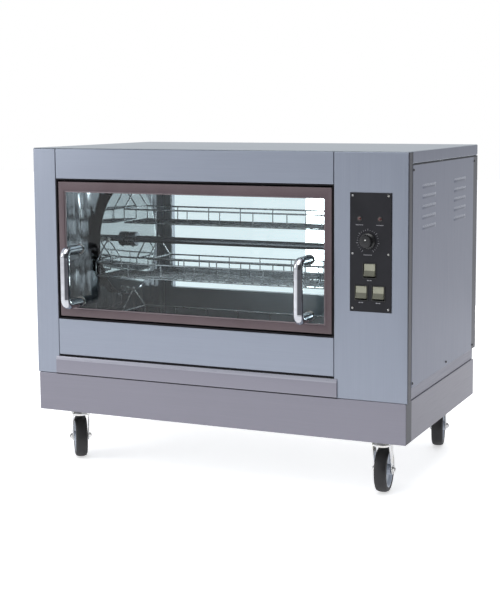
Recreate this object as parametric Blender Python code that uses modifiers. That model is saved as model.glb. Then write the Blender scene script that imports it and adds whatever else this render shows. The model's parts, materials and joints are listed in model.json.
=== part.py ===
"""Electric rotisserie oven on castors, in metres: X to the right, -Y to the front, +Z up.

The origin is on the floor, under the centre of the whole object's box.
"""

import math

import bmesh
import bpy
from mathutils import Matrix, Vector

# Cabinet
WIDTH = 1.084            # between the two side faces, without the louvres
DEPTH = 0.650            # between the front face and the rear face
TOP = 0.885
SHEET = 0.0015
GAP = 0.0004             # between pieces that touch
SKIRT_BOTTOM = 0.152
SKIRT_TOP = 0.258
SKIRT_INSET = 0.0035
FLOOR_FLANGE = 0.0335    # recessed band above the skirt
CAP_HEIGHT = 0.031       # side flange of the top cover
RETURN = 0.032           # how far the front pieces fold back along the sides

# Front layout
POST_WIDTH = 0.071
COLUMN_WIDTH = 0.1956
HEADER_HEIGHT = 0.084
DOOR_OPENING = 0.388
SILL_TOP = 0.3125        # lower edge of the panel under the door
HANDLE_STANDOFF = 0.066
HANDLE_R = 0.0125
HANDLE_FRONT = HANDLE_STANDOFF + HANDLE_R
GLAND_OUT = 0.015

# The handles and the cable gland reach past the cabinet, so its centre is off the origin.
CENTRE_Y = (HANDLE_FRONT - GLAND_OUT) / 2
FRONT = CENTRE_Y - DEPTH / 2
BACK = CENTRE_Y + DEPTH / 2
LEFT = -WIDTH / 2
RIGHT = WIDTH / 2
POST_X = LEFT + POST_WIDTH
COLUMN_X = RIGHT - COLUMN_WIDTH
OPENING_TOP = TOP - HEADER_HEIGHT
OPENING_BOTTOM = OPENING_TOP - DOOR_OPENING
UNDER_CAP = TOP - SHEET - GAP
COVER_BOTTOM = SKIRT_TOP + FLOOR_FLANGE + GAP
COVER_TOP = TOP - CAP_HEIGHT - GAP

# Cavity
PANEL_DEPTH = 0.030      # depth of the header and the lower panel
WALL_LEFT = POST_X
WALL_RIGHT = COLUMN_X - 0.010
WALL_BACK = BACK - 0.0270
CAVITY_FLOOR = 0.300
CAVITY_CEILING = 0.838
WINDOW = (POST_X + 0.024, COLUMN_X - 0.035, 0.422, 0.775)    # x, x, z, z of the rear window
DRAIN = (-0.40, 0.26, 0.060)                                 # x, x and width of the floor slot
HEATER_Z = 0.818
HEATER_R = 0.0042
HEATER_YS = ((-0.170, -0.110), (0.110, 0.170))               # of each hairpin, from the rotor axis

# Rotor
AXIS_Y = CENTRE_Y + 0.038
AXIS_Z = 0.6025
SHAFT_R = 0.010
PIVOT_CIRCLE = 0.152
REST_ANGLE = -4.5        # degrees that the rotor has turned from baskets square with the cabinet
PIVOT_PIN_R = 0.004
DISC_R = 0.165
DISC_LEFT = WALL_LEFT + 0.0180
DISC_RIGHT = WALL_RIGHT - 0.0180
HANGER_LEFT = DISC_LEFT + 0.0200
HANGER_RIGHT = DISC_RIGHT - 0.0200
HUB_LENGTH = 0.028
HUB_R = 0.0215
BASKET_WIDTH = 0.140
BASKET_DEPTH = 0.040
HANGER_DROP = 0.058
BASKET_BAYS = 7
WIRE = 0.0042
CROSS_WIRE = 0.0034

# Drive
DRIVE_X = 0.398
DRIVE_DROP = 0.190
DRIVEN_TEETH = 24
DRIVE_TEETH = 12
TOOTH_PITCH = 0.0127
CHAIN_GAP = 0.0010
CHAIN_HEIGHT = 0.0075

# Door
DOOR_SIDE_GAP = 0.0065
DOOR_END_GAP = 0.0080    # above and below the door
DOOR_FRONT = FRONT + 0.002
DOOR_DEPTH = 0.016
FRAME_SIDE = 0.0185
FRAME_TOP = 0.0250
FRAME_BOTTOM = 0.0210
REBATE = 0.0080          # how far the glass reaches into the frame
HINGE_INSET = 0.008
HANDLE_BEND = 0.0160
HANDLE_LOW = 0.4625
HANDLE_HIGH = 0.6085
HANDLE_XS = (-0.4045, 0.276)

# Drip tray drawer: its front stands proud of the post and the column and laps over both
DRAWER_PROUD = 0.004
DRAWER_LAP = 0.009
DRAWER_TOP = 0.3075

# Control plate
PLATE = (0.390, 0.499, 0.485, 0.783)      # x, x, z, z
KNOB = (0.4373, 0.6626)
LAMPS = ((0.4156, 0.718), (0.4689, 0.718))
ROCKERS = ((0.4424, 0.5895), (0.4204, 0.5333), (0.4655, 0.5333))
ROCKER_WIDTH = 0.029
ROCKER_HEIGHT = 0.031
ROCKER_TILT = 10.0

# Louvres
LOUVRE_LENGTH = 0.118
LOUVRE_RISE = 0.003
LOUVRE_DROP = 0.010
LOUVRE_TOP_Z = 0.799
LOUVRE_PITCH = 0.0262
LOUVRE_ROWS = 5
LOUVRE_YS = (FRONT + 0.1720, FRONT + 0.4630)

# Castors: name, side, end, and the heading of the wheel in degrees
CASTOR_X = 0.452
CASTOR_Y = 0.252
WHEEL_R = 0.059
WHEEL_WIDTH = 0.034
TRAIL = 0.024
AXLE_R = 0.005
CASTORS = (
    ("front_left", -1, -1, 36.0),
    ("front_right", 1, -1, 7.0),
    ("rear_left", -1, 1, 20.0),
    ("rear_right", 1, 1, 12.0),
)
ROUND = 20

MODEL = bpy.data.collections.new("rotisserie_oven")
CUTTERS = bpy.data.collections.new("cutters")


# ---------------------------------------------------------------- tools

def clear_scene():
    for obj in list(bpy.data.objects):
        bpy.data.objects.remove(obj, do_unlink=True)
    CUTTERS.hide_render = True
    for collection in (MODEL, CUTTERS):
        bpy.context.scene.collection.children.link(collection)


def material(name, colour, roughness, metallic, alpha=1.0):
    made = bpy.data.materials.get(name) or bpy.data.materials.new(name)
    made.use_nodes = True
    shader = made.node_tree.nodes["Principled BSDF"]
    shader.inputs["Base Color"].default_value = (*colour, 1.0)
    shader.inputs["Roughness"].default_value = roughness
    shader.inputs["Metallic"].default_value = metallic
    shader.inputs["Alpha"].default_value = alpha
    return made


def steel():
    return material("brushed_steel", (0.42, 0.44, 0.50), 0.34, 1.0)


def polished():
    return material("polished_steel", (0.58, 0.60, 0.63), 0.12, 1.0)


def place(name, data, finish, collection=MODEL):
    obj = bpy.data.objects.new(name, data)
    collection.objects.link(obj)
    if finish:
        data.materials.append(finish)
    if collection is CUTTERS:
        obj.hide_render = True
        obj.display_type = "WIRE"
    return obj


def mesh_object(name, bm, finish, collection=MODEL):
    data = bpy.data.meshes.new(name)
    bmesh.ops.recalc_face_normals(bm, faces=bm.faces)
    bm.to_mesh(data)
    bm.free()
    return place(name, data, finish, collection)


def add_box(bm, low, high, turn=None):
    """A box between two corners; turn is applied to it about its own centre."""
    low, high = Vector(low), Vector(high)
    size = Matrix.Diagonal((*(high - low), 1.0))
    centre = Matrix.Translation((low + high) / 2)
    bmesh.ops.create_cube(bm, size=1.0, matrix=centre @ (turn or Matrix()) @ size)


def boxes(name, pairs, finish=None, collection=MODEL):
    bm = bmesh.new()
    for low, high in pairs:
        add_box(bm, low, high)
    return mesh_object(name, bm, finish, collection)


AXIS_TURN = {
    "X": Matrix.Rotation(math.radians(90), 4, "Y"),
    "Y": Matrix.Rotation(math.radians(-90), 4, "X"),
    "Z": Matrix(),
}


def add_rod(bm, axis, start, length, radius, end_radius=None, sides=ROUND):
    """A rod or cone that runs from start along +axis."""
    turn = AXIS_TURN[axis]
    middle = Vector(start) + turn @ Vector((0, 0, length / 2))
    bmesh.ops.create_cone(
        bm, cap_ends=True, segments=sides, radius1=radius,
        radius2=radius if end_radius is None else end_radius,
        depth=length, matrix=Matrix.Translation(middle) @ turn,
    )


def rods(name, specs, finish=None, collection=MODEL, sides=ROUND):
    bm = bmesh.new()
    for axis, start, length, radius in specs:
        add_rod(bm, axis, start, length, radius, sides=sides)
    obj = mesh_object(name, bm, finish, collection)
    smooth(obj)
    return obj


def smooth(obj):
    obj.data.shade_smooth()
    obj.data.set_sharp_from_angle(angle=math.radians(35))


def outline(name, points, axis, start, length, finish=None, hole=None):
    """A flat outline thickened from start along +axis.

    Its points are (y, z) on X, (x, z) on Y and (x, y) on Z.
    """
    curve = bpy.data.curves.new(name, "CURVE")
    curve.dimensions = "2D"
    curve.fill_mode = "BOTH"
    curve.extrude = length / 2
    for ring in filter(None, (points, hole)):
        spline = curve.splines.new("POLY")
        spline.points.add(len(ring) - 1)
        for point, (u, v) in zip(spline.points, ring):
            point.co = (u, v, 0.0, 1.0)
        spline.use_cyclic_u = True
    frames = {
        "X": Matrix(((0, 0, 1, 0), (1, 0, 0, 0), (0, 1, 0, 0), (0, 0, 0, 1))),
        "Y": Matrix(((1, 0, 0, 0), (0, 0, -1, 0), (0, 1, 0, 0), (0, 0, 0, 1))),
        "Z": Matrix(),
    }
    along = {"X": Vector((1, 0, 0)), "Y": Vector((0, 1, 0)), "Z": Vector((0, 0, 1))}[axis]
    shape = bpy.data.objects.new(name, curve)
    shape.matrix_world = Matrix.Translation(along * (start + length / 2)) @ frames[axis]
    return meshed(shape, finish)


def meshed(shape, finish):
    """Turns a curve object into a mesh object in the same place, with its caps welded."""
    MODEL.objects.link(shape)
    bpy.context.view_layer.update()
    graph = bpy.context.evaluated_depsgraph_get()
    data = bpy.data.meshes.new_from_object(shape.evaluated_get(graph))
    bm = bmesh.new()
    bm.from_mesh(data)
    bmesh.ops.remove_doubles(bm, verts=bm.verts, dist=1e-6)
    bmesh.ops.recalc_face_normals(bm, faces=bm.faces)
    bm.to_mesh(data)
    bm.free()
    data.materials.clear()
    name, matrix = shape.name, shape.matrix_world.copy()
    bpy.data.objects.remove(shape, do_unlink=True)
    obj = place(name, data, finish)
    obj.matrix_world = matrix
    return obj


def tube(name, points, radius, finish, roundness):
    curve = bpy.data.curves.new(name, "CURVE")
    curve.dimensions = "3D"
    curve.bevel_depth = radius
    curve.bevel_resolution = roundness
    curve.use_fill_caps = True
    spline = curve.splines.new("POLY")
    spline.points.add(len(points) - 1)
    for point, (x, y, z) in zip(spline.points, points):
        point.co = (x, y, z, 1.0)
    obj = meshed(bpy.data.objects.new(name, curve), finish)
    smooth(obj)
    return obj


def combine(obj, others, operation):
    for other in others:
        if other.name in MODEL.objects:
            MODEL.objects.unlink(other)
            CUTTERS.objects.link(other)
            other.hide_render = True
            other.display_type = "WIRE"
        step = obj.modifiers.new(f"{operation.lower()}_{other.name}", "BOOLEAN")
        step.operation = operation
        step.object = other
        step.solver = "EXACT"
    return obj


def cut(obj, *others):
    return combine(obj, others, "DIFFERENCE")


def fuse(obj, *others):
    return combine(obj, others, "UNION")


def cut_boxes(obj, *pairs):
    return cut(obj, *[
        boxes(f"{obj.name}_void_{i}", [pair], None, CUTTERS) for i, pair in enumerate(pairs)
    ])


def baked(obj):
    """The mesh that the object's modifiers make, for copies that share it."""
    bpy.context.view_layer.update()
    graph = bpy.context.evaluated_depsgraph_get()
    data = bpy.data.meshes.new_from_object(obj.evaluated_get(graph))
    bpy.data.objects.remove(obj, do_unlink=True)
    return data


def turns_about(centre, *objects):
    """Hangs moving pieces on an empty at a point of their joint, without moving them."""
    pivot = bpy.data.objects.new(f"{objects[0].name}_joint", None)
    pivot.location = centre
    MODEL.objects.link(pivot)
    for obj in objects:
        obj.parent = pivot
        obj.matrix_parent_inverse = Matrix.Translation(-Vector(centre))


def arc(centre, radius, start, end, steps):
    """Points (u, v) on an arc, from start to end in degrees."""
    angles = [math.radians(start + (end - start) * i / steps) for i in range(steps + 1)]
    return [(centre[0] + radius * math.cos(a), centre[1] + radius * math.sin(a)) for a in angles]


# ---------------------------------------------------------------- base and castors

def base_skirt():
    x, low, high = RIGHT - SKIRT_INSET, FRONT, BACK - 0.004
    lip = 0.020
    skirt = boxes("base_skirt", [((-x, low, SKIRT_BOTTOM), (x, high, SKIRT_TOP))], steel())
    inner = ((-x + SHEET, low + SHEET, SKIRT_BOTTOM + SHEET),
             (x - SHEET, high - SHEET, SKIRT_TOP - SHEET))
    mouth = ((-x + lip, low + lip, SKIRT_BOTTOM - 0.01),
             (x - lip, high - lip, SKIRT_TOP + 0.01))
    return cut_boxes(skirt, inner, mouth)


def base_plate():
    x = RIGHT - SKIRT_INSET - SHEET - GAP
    finish = material("galvanised_steel", (0.45, 0.46, 0.47), 0.5, 1.0)
    low, high = FRONT + SHEET + GAP, BACK - 0.004 - SHEET - GAP
    return boxes("base_plate", [((-x, low, 0.1580), (x, high, 0.1610))], finish)


def body_floor():
    """Floor pan of the cabinet; its turned-up edges are the recessed band above the skirt."""
    x, low, high = RIGHT - 0.007, FRONT + RETURN + 0.001, BACK - 0.007
    finish = material("floor_pan_steel", (0.30, 0.31, 0.35), 0.45, 1.0)
    bottom = SKIRT_TOP + GAP
    pan = boxes("body_floor", [((-x, low, bottom), (x, high, bottom + FLOOR_FLANGE))], finish)
    void = ((-x + SHEET, low - 0.01, bottom + SHEET), (x - SHEET, high - SHEET, bottom + 0.1))
    return cut_boxes(pan, void)


def castor_centre(side, end):
    return Vector((side * CASTOR_X, CENTRE_Y + end * CASTOR_Y, 0.0))


def castor_mounts():
    finish = material("zinc", (0.55, 0.56, 0.58), 0.38, 1.0)
    for name, side, end, _ in CASTORS:
        centre = castor_centre(side, end)
        low = centre + Vector((-0.045, -0.040, 0.1545))
        high = centre + Vector((0.045, 0.040, 0.1577))
        plate = boxes(f"castor_plate_{name}", [(low, high)], finish)
        race = rods(f"race_{name}", [("Z", centre + Vector((0, 0, 0.1410)), 0.0150, 0.024)])
        bore = rods(f"race_bore_{name}", [("Z", centre + Vector((0, 0, 0.13)), 0.05, 0.0056)])
        cut(fuse(plate, race), bore)


def fork_mesh():
    """Crown, two legs, king pin and axle, with the wheel trailing towards +Y."""
    finish = material("fork_zinc", (0.62, 0.63, 0.65), 0.30, 1.0)
    leg = [(-0.020, 0.1395), (0.024, 0.1395), (TRAIL + 0.012, WHEEL_R + 0.004)]
    leg += arc((TRAIL, WHEEL_R), 0.012, 0, -180, 5)
    crown = rods("fork", [("Z", (0, 0, 0.1275), 0.0127, 0.026)], finish)
    inside = WHEEL_WIDTH / 2 + 0.004
    right = outline("fork_right", leg, "X", inside, 0.003)
    left = outline("fork_left", leg, "X", -inside - 0.003, 0.003)
    pin = rods("king_pin", [("Z", (0, 0, 0.135), 0.0215, 0.005)], sides=12)
    axle_start = (-inside - 0.006, TRAIL, WHEEL_R)
    axle = rods("axle", [("X", axle_start, 2 * inside + 0.012, AXLE_R)], sides=12)
    return baked(fuse(crown, right, left, pin, axle))


def wheel_mesh():
    """Turned about its own axle, which lies on Z here."""
    finish = material("castor_tyre", (0.02, 0.02, 0.022), 0.6, 0.0)
    half, bore = WHEEL_WIDTH / 2, AXLE_R + 0.0006
    rim = WHEEL_R * 0.72
    side = [(bore, half + 0.002), (0.015, half + 0.002), (rim, half - 0.004)]
    side += [(WHEEL_R - 0.009, half), (WHEEL_R, half - 0.008)]
    profile = side + [(r, -z) for r, z in reversed(side)]
    bm = bmesh.new()
    corners = [bm.verts.new((r, 0, z)) for r, z in profile]
    for a, b in zip(corners, corners[1:] + corners[:1]):
        bm.edges.new((a, b))
    data = bpy.data.meshes.new("wheel")
    bm.to_mesh(data)
    bm.free()
    wheel = place("wheel", data, finish)
    turned = wheel.modifiers.new("turned", "SCREW")
    turned.steps = turned.render_steps = ROUND
    turned.use_merge_vertices = True
    turned.merge_threshold = 0.00001
    return baked(wheel)


def castors():
    castor_mounts()
    fork, wheel = fork_mesh(), wheel_mesh()
    wheel.shade_smooth()
    for name, side, end, heading in CASTORS:
        heading_turn = Matrix.Rotation(math.radians(heading), 4, "Z")
        turn = Matrix.Translation(castor_centre(side, end)) @ heading_turn
        place(f"castor_fork_{name}", fork, None).matrix_world = turn
        hub = Matrix.Translation((0, TRAIL, WHEEL_R)) @ AXIS_TURN["X"]
        place(f"castor_wheel_{name}", wheel, None).matrix_world = turn @ hub


# ---------------------------------------------------------------- outer shell

def channel(name, low, high, open_low, open_high):
    """A folded sheet, solid at the front: the void runs out of the back."""
    shell = boxes(name, [(low, high)], steel())
    void = ((low[0] + open_low[0], low[1] + SHEET, low[2] + open_low[1]),
            (high[0] - open_high[0], high[1] + 0.01, high[2] - open_high[1]))
    return cut_boxes(shell, void)


def front_shell():
    low_z = SKIRT_TOP + GAP
    channel("left_front_post", (LEFT, FRONT, low_z), (POST_X, FRONT + RETURN, UNDER_CAP),
            (SHEET, -0.01), (SHEET, -0.01))
    panel_back = FRONT + PANEL_DEPTH
    x0, x1 = POST_X + GAP, COLUMN_X - GAP
    channel("header_panel", (x0, FRONT, OPENING_TOP), (x1, panel_back, UNDER_CAP),
            (-0.01, SHEET), (-0.01, SHEET))
    channel("lower_front_panel", (x0, FRONT, SILL_TOP + GAP), (x1, panel_back, OPENING_BOTTOM),
            (-0.01, SHEET), (-0.01, SHEET))
    column = channel("control_column", (COLUMN_X, FRONT, low_z), (RIGHT, FRONT + RETURN, UNDER_CAP),
                     (SHEET, -0.01), (SHEET, -0.01))
    margin = 0.008
    x0, x1, z0, z1 = PLATE
    cut_boxes(column, ((x0 + margin, FRONT - 0.01, z0 + margin),
                       (x1 - margin, FRONT + 0.01, z1 - margin)))


def top_cover():
    back = FRONT + RETURN + GAP
    sheet = boxes("top_cover", [((LEFT, FRONT, TOP - SHEET), (RIGHT, BACK, TOP))], steel())
    low = TOP - CAP_HEIGHT
    rim = boxes("top_cover_rim", [((LEFT, back, low), (RIGHT, BACK, TOP - SHEET / 2))])
    cut_boxes(rim, ((LEFT + SHEET, back - 0.01, low - 0.01),
                    (RIGHT - SHEET, BACK - SHEET, TOP + 0.01)))
    return fuse(sheet, rim)


def louvre_hoods(name, side):
    """Pressed hoods: flush at the top, standing off at the lower lip."""
    face = side * RIGHT
    root, lip = face - side * SHEET / 2, face + side * LOUVRE_RISE
    hoods = []
    for column, y in enumerate(LOUVRE_YS):
        for row in range(LOUVRE_ROWS):
            z = LOUVRE_TOP_Z - row * LOUVRE_PITCH
            section = [(root, z), (root, z - LOUVRE_DROP), (lip, z - LOUVRE_DROP), (lip, z - 0.006)]
            start = y - LOUVRE_LENGTH / 2
            hoods.append(outline(f"{name}_hood_{column}_{row}", section, "Y", start, LOUVRE_LENGTH))
    return hoods


def side_covers():
    y0, y1 = FRONT + RETURN + GAP, BACK
    for name, side in (("left_side_cover", -1), ("right_side_cover", 1)):
        inner, outer = sorted((side * (RIGHT - SHEET), side * RIGHT))
        cover = boxes(name, [((inner, y0, COVER_BOTTOM), (outer, y1, COVER_TOP))], steel())
        fuse(cover, *louvre_hoods(name, side))
        for column, y in enumerate(LOUVRE_YS):
            slots = [((inner - 0.01, y - LOUVRE_LENGTH / 2 + 0.002, z - LOUVRE_DROP - 0.005),
                      (outer + 0.01, y + LOUVRE_LENGTH / 2 - 0.002, z - LOUVRE_DROP - GAP))
                     for z in (LOUVRE_TOP_Z - row * LOUVRE_PITCH for row in range(LOUVRE_ROWS))]
            cut(cover, boxes(f"{name}_slots_{column}", slots, None, CUTTERS))


def rear_shell():
    x0, x1 = LEFT + SHEET + GAP, COLUMN_X - GAP
    wx0, wx1, wz0, wz1 = WINDOW
    edge = 0.012
    y0, y1 = BACK - SHEET, BACK
    panel = boxes("rear_panel", [((x0, y0, COVER_BOTTOM), (x1, y1, COVER_TOP))], steel())
    jamb = boxes("rear_jamb", [((wx0 - edge, BACK - 0.0210, wz0 - edge),
                                (wx1 + edge, BACK - SHEET / 2, wz1 + edge))])
    fuse(panel, jamb)
    cut_boxes(panel, ((wx0, BACK - 0.05, wz0), (wx1, BACK + 0.01, wz1)))
    end = RIGHT - SHEET - GAP
    cover = boxes("rear_column_cover", [((COLUMN_X, y0, COVER_BOTTOM), (end, y1, COVER_TOP))],
                  steel())
    slots = [((COLUMN_X + 0.035, y0 - 0.01, z), (RIGHT - 0.037, y1 + 0.01, z + 0.005))
             for z in (0.70 + 0.018 * row for row in range(6))]
    cut(cover, boxes("rear_slots", slots, None, CUTTERS))
    cut(cover, rods("gland_hole", [("Y", (0.50, y0 - 0.01, 0.335), 0.03, 0.0104)], None, CUTTERS))
    glass = material("window_glass", (0.80, 0.90, 0.92), 0.05, 0.0, 0.3)
    boxes("rear_glass", [((wx0 - edge, BACK - 0.0265, wz0 - edge),
                          (wx1 + edge, BACK - 0.0215, wz1 + edge))], glass)


def cable_gland():
    x, z = 0.50, 0.335
    finish = material("gland_plastic", (0.03, 0.03, 0.03), 0.5, 0.0)
    body = rods("cable_gland", [("Y", (x, BACK - 0.012, z), 0.012 + GLAND_OUT - 0.001, 0.0100)], finish)
    nut = rods("gland_nut", [("Y", (x, BACK + GAP, z), GLAND_OUT - GAP, 0.0140)], sides=6)
    bore = rods("gland_bore", [("Y", (x, BACK - 0.02, z), 0.05, 0.0050)], None, CUTTERS)
    return cut(fuse(body, nut), bore)


# ---------------------------------------------------------------- cavity

def cavity_walls(y0, y1, z0, z1):
    left = boxes("cavity_left_wall", [((WALL_LEFT - SHEET, y0, z0), (WALL_LEFT, y1, z1))],
                 polished())
    right = boxes("cavity_right_wall",
                  [((WALL_RIGHT, FRONT + PANEL_DEPTH + GAP, z0), (WALL_RIGHT + SHEET, y1, z1))],
                  polished())
    for wall, x in ((left, WALL_LEFT), (right, WALL_RIGHT)):
        hole = ("X", (x - 0.01, AXIS_Y, AXIS_Z), 0.02, 0.0135)
        cut(wall, rods(f"{wall.name}_hole", [hole], None, CUTTERS))
    ends = [("X", (WALL_RIGHT - 0.01, AXIS_Y + y, HEATER_Z), 0.02, 0.0050)
            for ys in HEATER_YS for y in ys]
    cut(right, rods("heater_holes", ends, None, CUTTERS, sides=12))


def cavity():
    y0, y1 = FRONT + RETURN + GAP, WALL_BACK - SHEET - GAP
    z0, z1 = CAVITY_FLOOR - 0.004, CAVITY_CEILING + 0.004
    cavity_walls(y0, y1, z0, z1)
    x0, x1 = WALL_LEFT + GAP, WALL_RIGHT - GAP
    front = FRONT + PANEL_DEPTH + GAP
    dark = material("cavity_floor_steel", (0.10, 0.105, 0.115), 0.35, 1.0)
    low = CAVITY_FLOOR - SHEET
    floor = boxes("cavity_floor", [((x0, front, low), (x1, y1, CAVITY_FLOOR))], dark)
    slot = ((DRAIN[0], AXIS_Y - DRAIN[2] / 2, 0.28), (DRAIN[1], AXIS_Y + DRAIN[2] / 2, 0.32))
    cut_boxes(floor, slot)
    high = CAVITY_CEILING + SHEET
    boxes("cavity_ceiling", [((x0, front, CAVITY_CEILING), (x1, y1, high))], polished())
    wx0, wx1, wz0, wz1 = WINDOW
    rear = boxes("cavity_rear_wall", [((x0 - 0.012, WALL_BACK - SHEET, z0), (x1, WALL_BACK, z1))],
                 polished())
    cut_boxes(rear, ((wx0, WALL_BACK - 0.02, wz0), (wx1, WALL_BACK + 0.02, wz1)))


def insulation():
    finish = material("mineral_wool", (0.62, 0.55, 0.38), 0.95, 0.0)
    low = (LEFT + 0.006, FRONT + 0.045, 0.300)
    slab = boxes("left_insulation", [(low, (WALL_LEFT - 0.004, BACK - 0.034, 0.835))], finish)
    cut_boxes(slab, ((LEFT - 0.01, AXIS_Y - 0.045, AXIS_Z - 0.045),
                     (WALL_LEFT, AXIS_Y + 0.045, AXIS_Z + 0.045)))


def heating_elements():
    finish = material("heater_sheath", (0.16, 0.14, 0.13), 0.45, 0.8)
    end, far = WALL_RIGHT + 0.030, WALL_LEFT + 0.060
    for name, ys in zip(("heating_element_front", "heating_element_rear"), HEATER_YS):
        y0, y1 = AXIS_Y + ys[0], AXIS_Y + ys[1]
        bend = arc((far, (y0 + y1) / 2), (y1 - y0) / 2, -90, -270, 10)
        route = [(end, y0)] + bend + [(end, y1)]
        tube(name, [(x, y, HEATER_Z) for x, y in route], HEATER_R, finish, 2)


def cavity_lamp():
    finish = material("lamp_glass", (0.95, 0.93, 0.85), 0.15, 0.0)
    start = (0.0, AXIS_Y, CAVITY_CEILING - GAP - 0.022)
    rods("cavity_lamp", [("Z", start, 0.022, 0.022)], finish)


# ---------------------------------------------------------------- rotor and baskets

def pivot_centres():
    """Centres of the four basket pivots, from the top one round by the back."""
    for quarter in (90, 0, 270, 180):
        angle = math.radians(quarter + REST_ANGLE)
        along, up = math.cos(angle), math.sin(angle)
        yield Vector((0.0, AXIS_Y + PIVOT_CIRCLE * along, AXIS_Z + PIVOT_CIRCLE * up))


def rotor_shaft():
    finish = material("shaft_steel", (0.35, 0.36, 0.38), 0.30, 1.0)
    start, end = WALL_LEFT - 0.020, DRIVE_X + 0.018
    shaft = rods("rotor_shaft", [("X", (start, AXIS_Y, AXIS_Z), end - start, SHAFT_R)], finish)
    stand = 0.0015
    hubs = [("X", (DISC_LEFT + stand, AXIS_Y, AXIS_Z), HUB_LENGTH, HUB_R),
            ("X", (DISC_RIGHT - stand - HUB_LENGTH, AXIS_Y, AXIS_Z), HUB_LENGTH, HUB_R)]
    return fuse(shaft, rods("hubs", hubs))


def discs():
    pin_length = HANGER_LEFT + 0.004 - DISC_LEFT
    made = []
    for name, x, side in (("left_disc", DISC_LEFT, 1), ("right_disc", DISC_RIGHT, -1)):
        round_plate = [("X", (x - 0.001, AXIS_Y, AXIS_Z), 0.002, DISC_R)]
        plate = rods(name, round_plate, polished(), sides=48)
        start = x if side > 0 else x - pin_length
        pins = [("X", (start, c.y, c.z), pin_length, PIVOT_PIN_R) for c in pivot_centres()]
        fuse(plate, rods(f"{name}_pins", pins, sides=10))
        hole = [("X", (x - 0.01, AXIS_Y, AXIS_Z), 0.02, SHAFT_R + 0.0003)]
        made.append(cut(plate, rods(f"{name}_hole", hole, None, CUTTERS)))
    return made


def bearings():
    finish = material("bearing_bronze", (0.45, 0.32, 0.16), 0.35, 1.0)
    flange, sleeve = 0.004, 0.014
    for name, x, side in (("left_bearing", WALL_LEFT - SHEET - GAP, -1),
                          ("right_bearing", WALL_RIGHT + SHEET + GAP, 1)):
        start = x if side > 0 else x - flange
        sleeve_start = x if side > 0 else x - sleeve
        body = rods(name, [("X", (start, AXIS_Y, AXIS_Z), flange, 0.030)], finish)
        fuse(body, rods(f"{name}_sleeve", [("X", (sleeve_start, AXIS_Y, AXIS_Z), sleeve, 0.017)]))
        bore = [("X", (x - 0.03, AXIS_Y, AXIS_Z), 0.06, SHAFT_R + 0.0004)]
        cut(body, rods(f"{name}_bore", bore, None, CUTTERS))


def basket_mesh():
    """One wire basket about its pivot, which lies on the X axis."""
    finish = material("basket_wire", (0.50, 0.51, 0.53), 0.25, 1.0)
    half, rim, low = BASKET_WIDTH / 2, -HANGER_DROP, -HANGER_DROP - BASKET_DEPTH
    x0, x1 = HANGER_LEFT, HANGER_RIGHT
    w, c = WIRE / 2, CROSS_WIRE / 2
    lines = [(-half, rim), (half, rim)] + [(-half + BASKET_WIDTH * i / 3, low) for i in range(4)]
    long_wires = [((x0 - w, y - w, z - w), (x1 + w, y + w, z + w)) for y, z in lines]
    stations = [x0 + (x1 - x0) * i / BASKET_BAYS for i in range(BASKET_BAYS + 1)]
    uprights = [((x - c, y - c, low), (x + c, y + c, rim)) for x in stations for y in (-half, half)]
    thick, thin = c * 1.1, c * 0.9
    crosses = [((x - thick, -half, low - thin), (x + thick, half, low + thin)) for x in stations]
    crosses += [((x - thick, -half, rim - thin), (x + thick, half, rim + thin)) for x in (x0, x1)]
    basket = boxes("basket", long_wires, finish)
    legs = bmesh.new()
    for x in (x0, x1):
        for side in (-1, 1):
            start, end = Vector((x, side * 0.0055, -0.003)), Vector((x, side * half, rim))
            run = end - start
            turn = Matrix.Rotation(math.atan2(run.z, run.y), 4, "X")
            middle, length = (start + end) / 2, run.length / 2
            add_box(legs, middle - Vector((c, length, c)), middle + Vector((c, length, c)), turn)
    eye = Vector((0.002, 0.0085, 0.0085))
    eyes = boxes("basket_eyes", [(Vector((x, 0, 0)) - eye, Vector((x, 0, 0)) + eye) for x in (x0, x1)])
    fuse(basket, boxes("basket_uprights", uprights), boxes("basket_crosses", crosses),
         mesh_object("basket_legs", legs, None), eyes)
    bore = [("X", (x0 - 0.05, 0, 0), x1 - x0 + 0.1, PIVOT_PIN_R + 0.0004)]
    cut(basket, rods("basket_pin_bore", bore, None, CUTTERS, sides=10))
    return baked(basket)


def baskets():
    shared = basket_mesh()
    for number, centre in enumerate(pivot_centres(), 1):
        place(f"basket_{number}", shared, None).location = centre


# ---------------------------------------------------------------- drive

def tooth_outline(teeth):
    """A sprocket's outline: straight-sided teeth on the pitch circle."""
    pitch_r = TOOTH_PITCH / (2 * math.sin(math.pi / teeth))
    tip, root = pitch_r + 0.0010, pitch_r - 0.0035
    points = []
    for tooth in range(teeth):
        for share, radius in ((0.00, root), (0.32, root), (0.56, tip), (0.76, tip)):
            angle = 2 * math.pi * (tooth + share) / teeth
            points.append((radius * math.cos(angle), radius * math.sin(angle)))
    return points, tip


def sprockets():
    """The driven sprocket on the rotor and the drive sprocket with its stub, and their tips."""
    finish = material("sprocket_steel", (0.22, 0.22, 0.23), 0.4, 1.0)
    made = []
    for name, teeth, z in (("driven_sprocket", DRIVEN_TEETH, AXIS_Z),
                           ("drive_sprocket", DRIVE_TEETH, AXIS_Z - DRIVE_DROP)):
        points, tip = tooth_outline(teeth)
        placed = [(AXIS_Y + u, z + v) for u, v in points]
        hole = arc((AXIS_Y, z), SHAFT_R + 0.0003, 0, 342, 19) if z == AXIS_Z else None
        wheel = outline(name, placed, "X", DRIVE_X - 0.003, 0.006, finish, hole=hole)
        made.append((wheel, tip, z))
    stub = [("X", (DRIVE_X, AXIS_Y, AXIS_Z - DRIVE_DROP), 0.030, 0.006)]
    fuse(made[1][0], rods("drive_stub", stub))
    return made


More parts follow.
